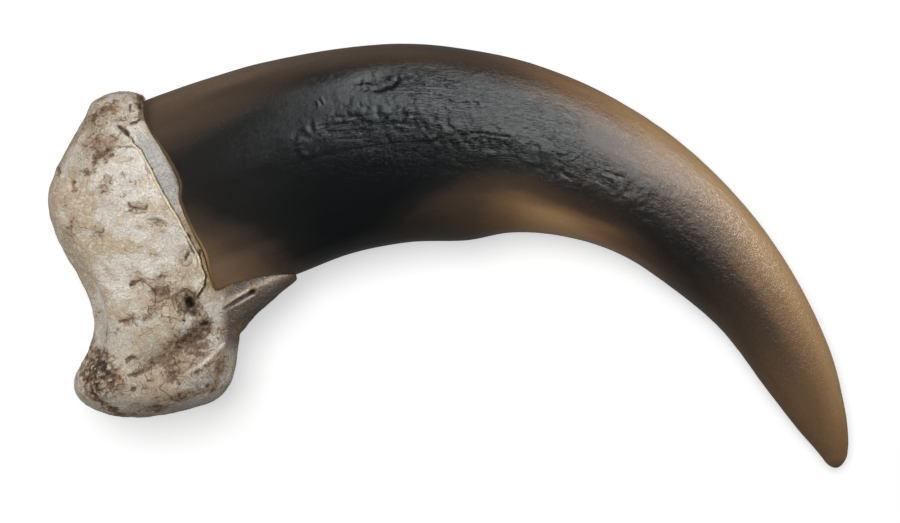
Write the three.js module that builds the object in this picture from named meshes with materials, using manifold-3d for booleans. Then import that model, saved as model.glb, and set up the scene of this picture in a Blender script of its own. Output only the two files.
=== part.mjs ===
// A bear's claw on the last bone of its toe, lying on its side.
//
// Two pieces grew one over the other. The bone has a knobbly base, which met the next bone of the
// toe, and a curved core that reaches into the claw. The horn sheath is the claw itself: a flattened,
// curved cone that is hollow over the core and solid towards its tip.
//
// Millimetres. +X runs from the bone to the claw's tip, +Y towards the claw's back and +Z up from
// the surface that it lies on. Both pieces are shaped about the claw's middle plane, z = 0, and the
// group is then tipped and lifted to where the claw comes to rest.
import * as THREE from "three";
import { mergeVertices } from "three/addons/utils/BufferGeometryUtils.js";
import Module from "manifold-3d";

const wasm = await Module();
wasm.setup();

// ---- Driving dimensions ----

// Seam between bone and horn, and between the core and the wall of its hollow.
const SEAM = 0.3;

// The sheath at even steps of its loft, from its mouth to its tip: a point on its back, the point
// on its sole that faces it, and half its width. The loft starts inside the bone, and RIM trims it.
const SHEATH = [
  { back: [-35.0, 16.6], sole: [-27.6, -5.7], half: 7.1 },
  { back: [-31.9, 17.8], sole: [-24.2, -4.7], half: 7.2 },
  { back: [-26.9, 19.5], sole: [-20.8, -3.5], half: 7.35 },
  { back: [-20.6, 21.3], sole: [-16.6, -2.0], half: 7.35 },
  { back: [-13.2, 22.7], sole: [-10.8, 0.2], half: 7.2 },
  { back: [-5.2, 23.35], sole: [-4.4, 1.5], half: 7.0 },
  { back: [2.2, 22.7], sole: [1.7, 1.7], half: 6.7 },
  { back: [9.6, 21.0], sole: [6.9, 2.55], half: 6.3 },
  { back: [17.2, 17.8], sole: [12.3, 2.15], half: 5.8 },
  { back: [25.25, 12.6], sole: [18.3, 0.35], half: 5.15 },
  { back: [32.35, 5.75], sole: [24.15, -3.3], half: 4.4 },
  { back: [38.0, -2.2], sole: [30.0, -8.2], half: 3.6 },
  { back: [41.9, -10.2], sole: [34.9, -14.6], half: 2.85 },
  { back: [43.65, -16.5], sole: [38.3, -19.3], half: 2.15 },
  { back: [44.15, -20.4], sole: [40.6, -22.0], half: 1.45 },
  { back: [43.8, -22.3], sole: [41.8, -23.0], half: 0.85 },
  { back: [42.95, -23.3], sole: [42.75, -23.4], half: 0.1 },
];
const SWEEP = 1.5; // how far the tip bends to one side
const EGG = 0.1; // how much wider the section is towards the back than towards the sole
const SOLE_SQUARENESS = 2.5; // the sole's half of the section: 2 is an ellipse, more is flatter
const SOLE_GROOVE = { deep: 0.6, spread: 0.36, ends: 0.55 };

// The horn's wall around the bone's core. The hollow closes at this share of the sheath's loft.
const WALL = { back: 2.6, sole: 1.9, side: 1.8, end: 0.56 };

// The line where the horn ends against the bone's shoulder, seen from the side.
const RIM = [
  [-33.7, 19.6],
  [-33.2, 17.2],
  [-32.6, 15.0],
  [-31.5, 13.0],
  [-30.1, 10.6],
  [-29.5, 8.6],
  [-29.4, 6.2],
  [-28.1, 3.3],
  [-26.9, 0.6],
  [-26.3, -2.0],
  [-25.9, -3.9],
  [-25.0, -5.0],
];

// The bone's base in level slices from its head down to its heel: where each slice starts and ends,
// and half its width. Slices beside the sheath reach past RIM and are trimmed there.
const BASE = [
  { y: 18.15, from: -36.6, to: -35.2, half: 0.9 },
  { y: 17.8, from: -38.0, to: -33.7, half: 2.6 },
  { y: 16.9, from: -39.3, to: -31.9, half: 4.2 },
  { y: 15.2, from: -40.2, to: -29.6, half: 5.3 },
  { y: 12.6, from: -41.7, to: -28.0, half: 6.5 },
  { y: 9.9, from: -43.1, to: -26.9, half: 7.5 },
  { y: 7.2, from: -44.1, to: -26.2, half: 8.1 },
  { y: 4.2, from: -43.9, to: -25.2, half: 8.2 },
  { y: 1.0, from: -42.7, to: -24.3, half: 7.9 },
  { y: -2.2, from: -40.9, to: -23.9, half: 7.5 },
  { y: -5.2, from: -39.6, to: -23.7, half: 7.2 },
  { y: -8.0, from: -39.2, to: -23.2, half: 7.1 },
  { y: -10.4, from: -39.8, to: -23.4, half: 7.5 },
  { y: -12.5, from: -41.0, to: -23.7, half: 8.0 },
  { y: -14.3, from: -41.3, to: -24.3, half: 7.7 },
  { y: -15.8, from: -40.4, to: -26.0, half: 6.5 },
  { y: -17.0, from: -38.3, to: -30.0, half: 4.4 },
  { y: -17.65, from: -36.2, to: -33.2, half: 1.8 },
];
const BASE_SQUARENESS = 2.5;

// Lumps and hollows on the base's two sides: where, half their length and breadth, which way they
// run, how far they rise on the upper side and, as a share of that, on the lower side.
const FLANKS = [
  { at: [-37.6, 8.6], reach: [4.2, 3.0], slant: 60, rise: 0.5, under: 0.8 }, // shoulder
  { at: [-29.6, -10.2], reach: [4.6, 1.7], slant: 29, rise: -1.2, under: 0.7 }, // valley
  { at: [-26.4, -11.9], reach: [3.4, 1.2], slant: 35, rise: 0.7, under: 0.7 }, // heel ridge
  { at: [-39.0, -13.6], reach: [2.6, 2.2], slant: 0, rise: 0.5, under: 1.0 }, // heel knob
  { at: [-33.8, 1.2], reach: [5.5, 3.2], slant: 100, rise: 0.4, under: 1.0 }, // swell
  { at: [-39.4, -4.6], reach: [3.6, 1.6], slant: 70, rise: -0.6, under: 1.0 }, // behind the joint
  { at: [-40.6, 13.0], reach: [2.6, 1.4], slant: 55, rise: -0.5, under: 0.6 }, // head's side
];

// The joint's face on the back of the base: two hollows side by side with a keel between them.
const JOINT = { top: 3.4, bottom: -13.0, deep: 1.6, apart: 0.52, spread: 0.3 };

// The shelf under the claw's sole. Its upper edge is trimmed to the sheath.
const SHELF = [
  { back: [-29.6, -3.0], sole: [-27.0, -11.2], half: 4.8 },
  { back: [-26.4, -2.8], sole: [-24.0, -9.4], half: 4.8 },
  { back: [-24.0, -1.9], sole: [-21.6, -6.7], half: 4.5 },
  { back: [-21.7, -1.2], sole: [-19.6, -4.85], half: 3.9 },
  { back: [-19.5, -0.8], sole: [-17.9, -3.45], half: 3.0 },
  { back: [-17.4, -0.8], sole: [-16.8, -2.55], half: 1.8 },
];
const SHELF_SQUARENESS = 2.6;

// How the claw lies: degrees about X and then Y, the height of its middle plane's origin when it
// just touches, and how deep the flats are where it does.
const REST = { roll: 1.59, pitch: 2.88, touch: 6.67 };
const FLAT = 0.1;

// Steps around and along each loft.
const FINENESS = {
  sheath: [36, 46],
  hollow: [24, 16],
  base: [48, 40],
  shelf: [20, 12],
};

// ---- Helpers ----

// A smooth curve through numbers set at equal steps, as a function of 0 to 1.
function smoothly(numbers) {
  const points = numbers.map((n) => new THREE.Vector3(n, 0, 0));
  const curve = new THREE.CatmullRomCurve3(points, false, "catmullrom");
  return (share) => curve.getPoint(THREE.MathUtils.clamp(share, 0, 1)).x;
}

// A list of stations as a smooth function of 0 to 1 along its loft.
function lofted(stations) {
  const edge = (name) => {
    const x = smoothly(stations.map((s) => s[name][0]));
    const y = smoothly(stations.map((s) => s[name][1]));
    return (share) => new THREE.Vector3(x(share), y(share), 0);
  };
  const [back, sole] = [edge("back"), edge("sole")];
  const half = smoothly(stations.map((s) => s.half));
  return (share) => ({
    back: back(share),
    sole: sole(share),
    half: half(share),
  });
}

// Cosine and sine of a turn, drawn out towards the corners of a box.
function squared(turn, squareness) {
  const bend = (n) => Math.sign(n) * Math.abs(n) ** (2 / squareness);
  return [bend(Math.cos(turn)), bend(Math.sin(turn))];
}

// A closed drum whose points are moved to place(share, turn), with its two ends filled flat.
function shaped([around, along], place) {
  const drum = new THREE.CylinderGeometry(1, 1, 1, around, along);
  const { position } = drum.attributes;
  for (let i = 0; i < position.count; i++) {
    const p = new THREE.Vector3().fromBufferAttribute(position, i);
    const share = 0.5 - p.y;
    if (Math.hypot(p.x, p.z) > 0.5) {
      p.copy(place(share, Math.atan2(p.x, p.z)));
    } else {
      p.copy(place(share, 0)).lerp(place(share, Math.PI), 0.5);
    }
    position.setXYZ(i, p.x, p.y, p.z);
  }
  return drum;
}

// A three.js geometry as a solid that can be joined and cut.
function solidFrom(geometry) {
  const bare = geometry.clone();
  bare.deleteAttribute("normal");
  bare.deleteAttribute("uv");
  const merged = mergeVertices(bare, 1e-4);
  const corners = merged.index.array;
  const triVerts = [];
  for (let i = 0; i < corners.length; i += 3) {
    const [a, b, c] = corners.slice(i, i + 3);
    if (a !== b && b !== c && c !== a) triVerts.push(a, b, c);
  }
  const vertProperties = merged.attributes.position.array;
  const solidOf = (triangles) =>
    new wasm.Manifold(
      new wasm.Mesh({
        numProp: 3,
        vertProperties,
        triVerts: new Uint32Array(triangles),
      }),
    );
  const solid = solidOf(triVerts);
  return solid.volume() > 0 ? solid : solidOf(triVerts.reverse());
}

function meshOf(solid, name, material) {
  const { vertProperties, triVerts } = solid.getMesh();
  const geometry = new THREE.BufferGeometry();
  const position = new THREE.BufferAttribute(vertProperties, 3);
  geometry.setAttribute("position", position);
  geometry.setIndex(new THREE.BufferAttribute(triVerts, 1));
  geometry.computeVertexNormals();
  const mesh = new THREE.Mesh(geometry, material);
  mesh.name = name;
  return mesh;
}

// ---- The horn sheath ----

const sheathAt = lofted(SHEATH);

// A point of the horn's outside, or of a surface that lies inside it by the given walls.
function hornPoint(share, turn, wall) {
  const { back, sole, half } = sheathAt(share);
  const down = new THREE.Vector3().subVectors(sole, back);
  const fade = Math.max(1 - share / SOLE_GROOVE.ends, 0);
  const groove = SOLE_GROOVE.deep * fade;
  const depth = down.length() + groove * 0.8;
  down.normalize();
  const halfDepth = (depth - wall.back - wall.sole) / 2;
  const [boxUp] = squared(turn, SOLE_SQUARENESS);
  const up = boxUp > 0 ? Math.cos(turn) : boxUp;
  const fromSole = Math.PI - Math.abs(turn);
  const hollow = groove * Math.exp(-((fromSole / SOLE_GROOVE.spread) ** 2));
  const side = Math.sin(turn) * (half - wall.side);
  return back
    .addScaledVector(down, wall.back + halfDepth * (1 - up) - hollow)
    .setZ(side * (1 + EGG * Math.cos(turn)) - SWEEP * share ** 2);
}

// The horn's outside, grown outwards by a skin of this thickness.
function hornOutside(grown) {
  const wall = { back: -grown, sole: -grown, side: -grown };
  return solidFrom(
    shaped(FINENESS.sheath, (share, turn) => hornPoint(share, turn, wall)),
  );
}

// The hollow of the horn, or with a gap, the core that fits it. Its end is round.
function hornInside(gap, end) {
  return solidFrom(
    shaped(FINENESS.hollow, (v, turn) => {
      const { back, sole, half } = sheathAt(end * v);
      const open = Math.sqrt(1 - v ** 2.4) * 0.98 + 0.02;
      const thick = { back: WALL.back + gap, sole: WALL.sole + gap };
      const closing = (back.distanceTo(sole) - thick.back - thick.sole) / 2;
      return hornPoint(end * v, turn, {
        back: thick.back + closing * (1 - open),
        sole: thick.sole + closing * (1 - open),
        side: half - (half - WALL.side - gap) * open,
      });
    }),
  );
}

// Everything on the tip's side of the rim and above a floor, with the rim moved back by a gap.
function pastRim(gap, floor) {
  const far = 90;
  const rim = new THREE.SplineCurve(
    RIM.map(([x, y]) => new THREE.Vector2(x - gap, y)),
  ).getPoints(36);
  const last = rim[rim.length - 1];
  const outline = new THREE.Shape([
    ...rim,
    new THREE.Vector2(last.x, floor),
    new THREE.Vector2(far, floor),
    new THREE.Vector2(far, far),
    new THREE.Vector2(rim[0].x, far),
  ]);
  const options = { depth: 2 * far, bevelEnabled: false };
  const block = new THREE.ExtrudeGeometry(outline, options);
  return solidFrom(block.translate(0, 0, -far));
}

// ---- The toe bone ----

const baseAt = {
  y: smoothly(BASE.map((s) => s.y)),
  from: smoothly(BASE.map((s) => s.from)),
  to: smoothly(BASE.map((s) => s.to)),
  half: smoothly(BASE.map((s) => s.half)),
};

// How far the lumps and hollows of the flanks lift the side at this place.
function flankRise(x, y, isUnder) {
  let rise = 0;
  for (const lump of FLANKS) {
    const slant = THREE.MathUtils.degToRad(lump.slant);
    const [dx, dy] = [x - lump.at[0], y - lump.at[1]];
    const along = (dx * Math.cos(slant) + dy * Math.sin(slant)) / lump.reach[0];
    const across = (dy * Math.cos(slant) - dx * Math.sin(slant)) / lump.reach[1];
    const share = isUnder ? lump.under : 1;
    rise += share * lump.rise * Math.exp(-(along ** 2) - across ** 2);
  }
  return rise;
}

// How deep the joint's face is hollowed at this height and turn.
function jointHollow(y, turn) {
  const tall = (y - JOINT.bottom) / (JOINT.top - JOINT.bottom);
  if (tall <= 0 || tall >= 1) return 0;
  const fromBack = Math.PI - Math.abs(turn);
  const side = Math.exp(-(((fromBack - JOINT.apart) / JOINT.spread) ** 2));
  return JOINT.deep * side * Math.sin(Math.PI * tall);
}

function basePoint(share, turn) {
  const [from, to] = [baseAt.from(share), baseAt.to(share)];
  const y = baseAt.y(share);
  const [c, s] = squared(turn, BASE_SQUARENESS);
  const x = (from + to) / 2 + (c * (to - from)) / 2 + jointHollow(y, turn);
  const rise = flankRise(x, y, s < 0) * Math.abs(s);
  const z = s * baseAt.half(share) + Math.sign(s) * rise;
  return new THREE.Vector3(x, y, z);
}

const shelfAt = lofted(SHELF);

function shelfPoint(share, turn) {
  const { back, sole, half } = shelfAt(share);
  const [c, s] = squared(turn, SHELF_SQUARENESS);
  return back.lerp(sole, (1 - c) / 2).setZ(s * half);
}

// ---- Put together ----

const claw = new THREE.Group();
claw.rotation.x = THREE.MathUtils.degToRad(REST.roll);
claw.rotation.y = THREE.MathUtils.degToRad(REST.pitch);
claw.position.z = REST.touch - FLAT;
claw.updateMatrixWorld(true);

// The ground, as it is seen from the claw before it is tipped.
const slab = new THREE.BoxGeometry(300, 300, 20);
slab.translate(0, 0, -10).applyMatrix4(claw.matrixWorld.clone().invert());
const ground = solidFrom(slab);

const soleCorner = RIM[RIM.length - 1][1];

function hornSheath() {
  const solid = hornOutside(0)
    .intersect(pastRim(0, -60))
    .subtract(hornInside(0, WALL.end));
  const horn = { color: 0x3b332c, roughness: 0.35 };
  return meshOf(
    solid.subtract(ground),
    "horn_sheath",
    new THREE.MeshStandardMaterial(horn),
  );
}

function toeBone() {
  const shelf = solidFrom(shaped(FINENESS.shelf, shelfPoint));
  const solid = solidFrom(shaped(FINENESS.base, basePoint))
    .subtract(pastRim(SEAM, soleCorner - SEAM))
    .add(shelf.subtract(hornOutside(SEAM)))
    .add(hornInside(SEAM, WALL.end - 0.02));
  const bone = { color: 0xc0b49e, roughness: 0.5 };
  return meshOf(
    solid.subtract(ground),
    "toe_bone",
    new THREE.MeshStandardMaterial(bone),
  );
}

claw.add(hornSheath(), toeBone());

export default claw;
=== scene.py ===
# %% [markdown]
# # A bear's claw on the last bone of its toe
#
# A claw is two things grown together. The toe's last bone has a knobbly base, where it met the next
# bone, and a curved core. Over the core sits a sheath of horn, which is what we call the claw. The
# sheath here is dark in the middle and tan along its back and tip, and the bone is pale and stained.
#
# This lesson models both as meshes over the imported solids, and then gives each its finish.

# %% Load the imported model
import math

import bmesh
import bpy
import numpy as np
from mathutils import Matrix, Vector, noise


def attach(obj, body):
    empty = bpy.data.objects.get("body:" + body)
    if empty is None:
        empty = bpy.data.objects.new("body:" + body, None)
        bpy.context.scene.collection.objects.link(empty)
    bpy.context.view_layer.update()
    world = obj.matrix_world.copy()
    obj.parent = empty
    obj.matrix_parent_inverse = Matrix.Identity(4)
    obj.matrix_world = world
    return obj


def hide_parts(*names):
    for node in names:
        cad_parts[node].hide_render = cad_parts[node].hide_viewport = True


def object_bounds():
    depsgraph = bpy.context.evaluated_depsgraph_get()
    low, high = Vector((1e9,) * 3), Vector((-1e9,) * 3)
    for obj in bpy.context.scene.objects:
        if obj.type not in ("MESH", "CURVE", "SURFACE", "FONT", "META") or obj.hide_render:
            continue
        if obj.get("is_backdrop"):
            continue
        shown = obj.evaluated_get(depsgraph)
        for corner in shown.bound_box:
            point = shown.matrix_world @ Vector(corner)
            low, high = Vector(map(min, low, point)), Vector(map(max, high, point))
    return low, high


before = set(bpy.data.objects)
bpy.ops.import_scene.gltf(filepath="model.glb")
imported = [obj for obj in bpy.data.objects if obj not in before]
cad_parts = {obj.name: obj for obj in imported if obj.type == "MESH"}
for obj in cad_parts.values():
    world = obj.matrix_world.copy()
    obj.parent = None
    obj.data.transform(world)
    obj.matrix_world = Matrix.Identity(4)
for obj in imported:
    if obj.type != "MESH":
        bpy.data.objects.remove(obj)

cad_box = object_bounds()
print("nodes:", sorted(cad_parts))
print("box, mm:", [[round(n * 1000, 2) for n in corner] for corner in cad_box])

# %% [markdown]
# ## Working in the claw's own plane
# A claw is nearly the same on its two sides, so it is easiest to shape about a middle plane. We work
# in millimetres on that plane, with X towards the tip and Y towards the claw's back. The last step
# tips each piece by the few degrees at which the claw lies and turns millimetres into metres.

# %% Millimetres, and how the claw lies
MM = 0.001
ROLL = math.radians(1.59)
PITCH = math.radians(2.88)
LIFT = 6.57  # height of the middle plane's origin above the floor

lies = np.array(Matrix.Rotation(ROLL, 3, "X") @ Matrix.Rotation(PITCH, 3, "Y"))
lifted = np.array([0.0, 0.0, LIFT])
print("middle plane's origin, mm above the floor:", LIFT)

# %% [markdown]
# ## The camera
# The claw lies on its side and the camera looks straight down on it. A long lens keeps both ends in
# nearly true proportion, but the tip lies lower than the base, so it is a little further from the eye
# and looks a little small. The outlines below are written as they are seen on a level sheet at the
# claw's upper half, and laying the claw down makes up for this: it enlarges what lies under the sheet.

# %% A long lens, straight above
SHEET = 8.0  # height of the level sheet on which outlines and marks are laid out
SPAN = 99.0  # how much of the sheet the camera sees from side to side
LENS = 100.0
SENSOR = 36.0
EYE = np.array([0.0, -0.605, SHEET + SPAN * LENS / SENSOR])

camera_data = bpy.data.cameras.new("camera")
camera_data.lens = LENS
camera_data.sensor_width = SENSOR
camera_data.clip_start = 0.01


def placed(name, data):
    """A new object in the scene."""
    thing = bpy.data.objects.new(name, data)
    bpy.context.scene.collection.objects.link(thing)
    return thing


camera = placed("camera", camera_data)
camera.location = Vector(EYE * MM)
bpy.context.scene.camera = camera


def laid_down(points):
    """Points of the claw's own plane, where they are when the claw lies on the floor."""
    lying = points @ lies.T + lifted
    middle = (points * (1, 1, 0)) @ lies.T + lifted
    grow = (EYE[2] - middle[:, 2]) / (EYE[2] - SHEET)
    lying[:, :2] = EYE[:2] + (lying[:, :2] - EYE[:2]) * grow[:, None]
    return lying


def as_seen(points):
    """Where points of the claw fall on the sheet when they are looked at from the camera."""
    lying = laid_down(points)
    reach = (EYE[2] - SHEET) / (EYE[2] - lying[:, 2])
    return EYE[0] + (lying[:, 0] - EYE[0]) * reach, EYE[1] + (lying[:, 1] - EYE[1]) * reach


print("camera height, mm:", round(EYE[2], 1))

# %% [markdown]
# ## The studio
# Horn is glossy and almost black, so it shows little but reflections. One big soft box behind and
# to the right gives it the long cool sheen along its back, a small one makes the worn skin sparkle,
# and a low one brightens the edge. The others fill the rest and are not mirrored. The paper glows
# like a light table and has a light of its own almost straight above, so that the claw's shadow
# stays narrow, soft and pale. The sky is white to the camera but dim to the claw: a bright sky would
# turn the black grey.

# %% Floor and sky
FLOOR_HALF = 1.5
PAPER_SEEN = 0.9
PAPER_UNSEEN = 0.25  # the claw's sides mirror the paper, and a bright one would turn them grey
GLOW = 0.55  # the paper is also lit from below
SKY_SEEN = 1.0
SKY_UNSEEN = 0.05


def placed_mesh(name, bm):
    """A mesh object made from a bmesh, which it then frees."""
    mesh = bpy.data.meshes.new(name)
    bm.to_mesh(mesh)
    bm.free()
    return placed(name, mesh)


bm = bmesh.new()
bmesh.ops.create_grid(bm, x_segments=1, y_segments=1, size=FLOOR_HALF)
floor = placed_mesh("floor", bm)
floor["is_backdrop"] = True


def two_levels(tree, seen, unseen, socket):
    """Gives a socket one level for the camera and another for the claw."""
    ray = tree.nodes.new("ShaderNodeLightPath")
    level = tree.nodes.new("ShaderNodeMapRange")
    level.inputs["To Min"].default_value = unseen
    level.inputs["To Max"].default_value = seen
    tree.links.new(ray.outputs["Is Camera Ray"], level.inputs["Value"])
    tree.links.new(level.outputs[0], socket)


paper = bpy.data.materials.new("paper")
paper.use_nodes = True
surface = paper.node_tree.nodes["Principled BSDF"].inputs
surface["Roughness"].default_value = 1.0
surface["Specular IOR Level"].default_value = 0.0
surface["Emission Color"].default_value = (1, 1, 1, 1)
two_levels(paper.node_tree, PAPER_SEEN, PAPER_UNSEEN, surface["Base Color"])
two_levels(paper.node_tree, GLOW, 0.0, surface["Emission Strength"])
floor.data.materials.append(paper)

world = bpy.data.worlds.new("sky")
world.use_nodes = True
bpy.context.scene.world = world
sky = world.node_tree.nodes["Background"].inputs
sky["Color"].default_value = (1, 1, 1, 1)
two_levels(world.node_tree, SKY_SEEN, SKY_UNSEEN, sky["Strength"])

# %% Lights
LIGHTS = [
    # name, degrees to the right, degrees to the back, metres away, width, length, watts, colour,
    # mirrored by the claw, what it lights
    ("sheen", 25, 33, 0.70, 0.51, 0.71, 3.7, (0.94, 0.98, 1.0), True, "claw"),
    ("sparkle", 60, 29, 0.90, 0.14, 0.14, 1.0, (1.0, 0.98, 0.94), True, "claw"),
    ("edge", 70, 37, 0.90, 0.50, 0.40, 1.9, (1.0, 1.0, 1.0), True, "claw"),
    ("left fill", -56, 10, 0.90, 0.50, 0.50, 9.2, (1.0, 0.98, 0.96), False, "claw"),
    ("front fill", 24, -57, 0.90, 0.50, 0.50, 3.0, (1.0, 0.98, 0.95), False, "claw"),
    ("back fill", 27, 33, 0.90, 0.50, 0.50, 3.6, (1.0, 0.99, 0.97), False, "claw"),
    ("shadow", -7, 10, 0.90, 0.46, 0.46, 4.25, (1.0, 1.0, 1.0), False, "floor"),
]

only_floor = bpy.data.collections.new("only the floor")
only_floor.objects.link(floor)
all_but_floor = bpy.data.collections.new("all but the floor")
all_but_floor.objects.link(floor)
all_but_floor.collection_objects[0].light_linking.link_state = "EXCLUDE"

for name, right, back, away, width, length, watts, colour, mirrored, lit in LIGHTS:
    light_data = bpy.data.lights.new(name, "AREA")
    light_data.shape = "RECTANGLE"
    light_data.size = width
    light_data.size_y = length
    light_data.energy = watts
    light_data.color = colour
    light = placed(name, light_data)
    light.visible_glossy = mirrored
    light.light_linking.receiver_collection = only_floor if lit == "floor" else all_but_floor
    light.rotation_euler = (-math.radians(back), math.radians(right), 0)
    light.location = light.rotation_euler.to_matrix() @ Vector((0, 0, away))

bpy.context.scene.view_settings.view_transform = "Standard"
print("lights:", len(LIGHTS))

# %% [markdown]
# ## Curves from a few numbers
# Both pieces are lofts: their outline and width are given at a few stations, and a smooth curve runs
# through them. It is the Catmull-Rom curve, which passes through every number it is given.

# %% A smooth curve through evenly spaced numbers
def smoothly(numbers):
    """A function of 0 to 1 that passes through the numbers at even steps."""
    knots = np.asarray(numbers, float)
    first = 2 * knots[0] - knots[1]
    last = 2 * knots[-1] - knots[-2]
    padded = np.concatenate([[first], knots, [last]])

    def at(share):
        place = np.clip(share, 0, 1) * (len(knots) - 1)
        step = np.minimum(place.astype(int), len(knots) - 2)
        f = place - step
        a, b, c, d = (padded[step + i] for i in range(4))
        bend = 2 * a - 5 * b + 4 * c - d
        return 0.5 * (2 * b + (c - a) * f + bend * f**2 + (3 * b - a - 3 * c + d) * f**3)

    return at


print("halfway through 0, 1, 4:", float(smoothly([0, 1, 4])(np.array(0.5))))

# %% Other curves, and smooth random numbers
def boxy(wave, squareness):
    """A cosine or sine drawn out towards the corners of a box."""
    return np.sign(wave) * np.abs(wave) ** (2 / squareness)


def smooth_step(value, low, high):
    """0 below low, 1 above high, and a smooth rise between."""
    share = np.clip((value - low) / (high - low), 0, 1)
    return share * share * (3 - 2 * share)


def rough_field(points, size, octaves=4, seed=0):
    """Smooth random numbers of about -1 to 1 over points, whose patches are about this size."""
    shift = Vector((17.3 * seed, 5.1 * seed, 9.7 * seed))
    places = (points / size).tolist()
    return np.array([noise.fractal(Vector(p) + shift, 1.0, 2.0, octaves) for p in places])


print("roughness at one place:", rough_field(np.ones((1, 3)), 3.0).round(3))

# %% [markdown]
# ## The horn's form
# The sheath is a flattened, curved cone. A curve object with a bevel would soon give a round one, but
# this one's sections are lopsided and grooved, so we work out its points ourselves. Each station
# gives a point on its back, the point on its sole that faces it, and half its width. Its sections
# are eggs, a little wider towards the back, except that the upper flank is fuller towards the sole
# along the middle. The sole is flatter than an ellipse, a shallow groove runs along it near the base,
# and the tip is rounded off.

# %% Stations of the sheath
BACK = [
    (-35.0, 16.6), (-31.9, 17.8), (-26.9, 19.5), (-20.6, 21.3), (-13.2, 22.7), (-5.2, 23.35),
    (2.2, 22.7), (9.6, 21.0), (17.2, 17.8), (25.25, 12.6), (32.35, 5.75), (38.0, -2.2),
    (41.9, -10.2), (43.6, -16.5), (44.1, -20.3), (44.05, -21.8), (44.0, -23.1),
]
SOLE = [
    (-27.6, -5.7), (-24.2, -4.7), (-20.8, -3.5), (-16.6, -2.0), (-10.8, 0.2), (-4.4, 1.5),
    (1.7, 1.7), (6.9, 2.55), (12.3, 2.15), (18.3, 0.35), (24.15, -3.3), (30.0, -8.2),
    (34.9, -14.6), (38.2, -18.85), (40.35, -21.35), (41.4, -22.6), (42.1, -23.85),
]
HALF_WIDTH = [
    7.1, 7.2, 7.35, 7.35, 7.2, 7.0, 6.7, 6.3, 5.8, 5.15, 4.4, 3.6, 2.85, 2.15, 1.55, 1.2, 0.95,
]
TIP_FROM = 15 / 16  # where the tip begins to round off
SWEEP = 1.5  # how far the tip bends to one side
EGG = 0.1  # how much wider the section is towards the back
EGG_ABOVE = [0.1, 0.1, 0.1, 0.06, -0.16, -0.16, -0.05, 0.0, 0.0]  # the same, on the upper flank
SOLE_SQUARENESS = 2.5
GROOVE_DEEP = 0.6
GROOVE_SPREAD = 0.36
GROOVE_ENDS = 0.55
WALL_BACK = 2.6
WALL_SOLE = 1.9
WALL_SIDE = 1.8
HOLLOW_ENDS = 0.56
HOLLOW_BLUNTNESS = 2.4  # more keeps the hollow wide until closer to its end

back_x, back_y = (smoothly([p[i] for p in BACK]) for i in range(2))
sole_x, sole_y = (smoothly([p[i] for p in SOLE]) for i in range(2))
half_width = smoothly(HALF_WIDTH)
egg_above = smoothly(EGG_ABOVE)
print("stations:", len(BACK), len(SOLE), len(HALF_WIDTH))

# %% Points of the horn and of its hollow
def across_horn(turn):
    """1 on the horn's back, -1 on its sole."""
    wave = np.cos(turn)
    return np.where(wave > 0, wave, boxy(wave, SOLE_SQUARENESS))


def horn_point(share, turn, back_wall=0.0, sole_wall=0.0, side_wall=0.0):
    """A point of the horn's outside, or of a surface inside it by these walls."""
    late = np.clip((share - TIP_FROM) / (1 - TIP_FROM), 0, 0.999)
    rounding = np.sqrt(1 - late**2)
    back = np.stack([back_x(share), back_y(share)], -1)
    sole = np.stack([sole_x(share), sole_y(share)], -1)
    heart = (back + sole) / 2
    back, sole = (heart + (edge - heart) * rounding[..., None] for edge in (back, sole))
    down = sole - back
    length = np.linalg.norm(down, axis=-1)
    groove = GROOVE_DEEP * np.maximum(1 - share / GROOVE_ENDS, 0)
    half_depth = (length + 0.8 * groove - back_wall - sole_wall) / 2
    fall = np.exp(-(((np.pi - np.abs(turn)) / GROOVE_SPREAD) ** 2))
    drop = back_wall + half_depth * (1 - across_horn(turn)) - groove * fall
    flat = back + down * (drop / length)[..., None]
    egg = np.where(np.sin(turn) > 0, egg_above(share), EGG)
    half = half_width(share) * rounding - side_wall
    side = np.sin(turn) * half * (1 + egg * np.cos(turn))
    return np.concatenate([flat, (side - SWEEP * share**2)[..., None]], -1)


def hollow_point(share, turn, ends=HOLLOW_ENDS, gap=0.0):
    """A point of the hollow's wall, or of a core that fills it but for a gap."""
    place = share * ends
    opening = np.sqrt(np.maximum(1 - share**HOLLOW_BLUNTNESS, 0)) * 0.98 + 0.02
    length = np.hypot(back_x(place) - sole_x(place), back_y(place) - sole_y(place))
    back_wall, sole_wall = WALL_BACK + gap, WALL_SOLE + gap
    closing = (length - back_wall - sole_wall) / 2 * (1 - opening)
    half = half_width(place)
    side = half - (half - WALL_SIDE - gap) * opening
    return horn_point(place, turn, back_wall + closing, sole_wall + closing, side)


middle = horn_point(np.linspace(0, 1, 400), np.full(400, math.pi / 2))
print("horn's length along its middle, mm:",
      round(float(np.linalg.norm(np.diff(middle, axis=0), axis=1).sum()), 1))

# %% [markdown]
# ## Where the horn ends
# The horn's mouth isn't square to its length: it follows the bone's shoulder. A boolean cut would
# leave ragged faces along it, so each strip of the sheath starts where it crosses this line.

# %% The rim line and where each strip starts
RIM = [
    (-34.3, 19.6), (-33.8, 17.2), (-33.4, 14.9), (-32.4, 13.0), (-31.1, 11.2), (-30.0, 9.4),
    (-29.4, 7.8), (-29.4, 6.1), (-28.3, 3.3), (-26.9, 0.6), (-26.3, -2.0), (-25.8, -3.6),
    (-24.3, -4.8),
]
rim_steps = np.linspace(0, 1, 200)
rim_x = smoothly([p[0] for p in RIM])(rim_steps)
rim_y = smoothly([p[1] for p in RIM])(rim_steps)


def rim_at(y):
    """How far along X the rim is at this height on the claw's plane."""
    return np.interp(y, rim_y[::-1], rim_x[::-1])


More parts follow.
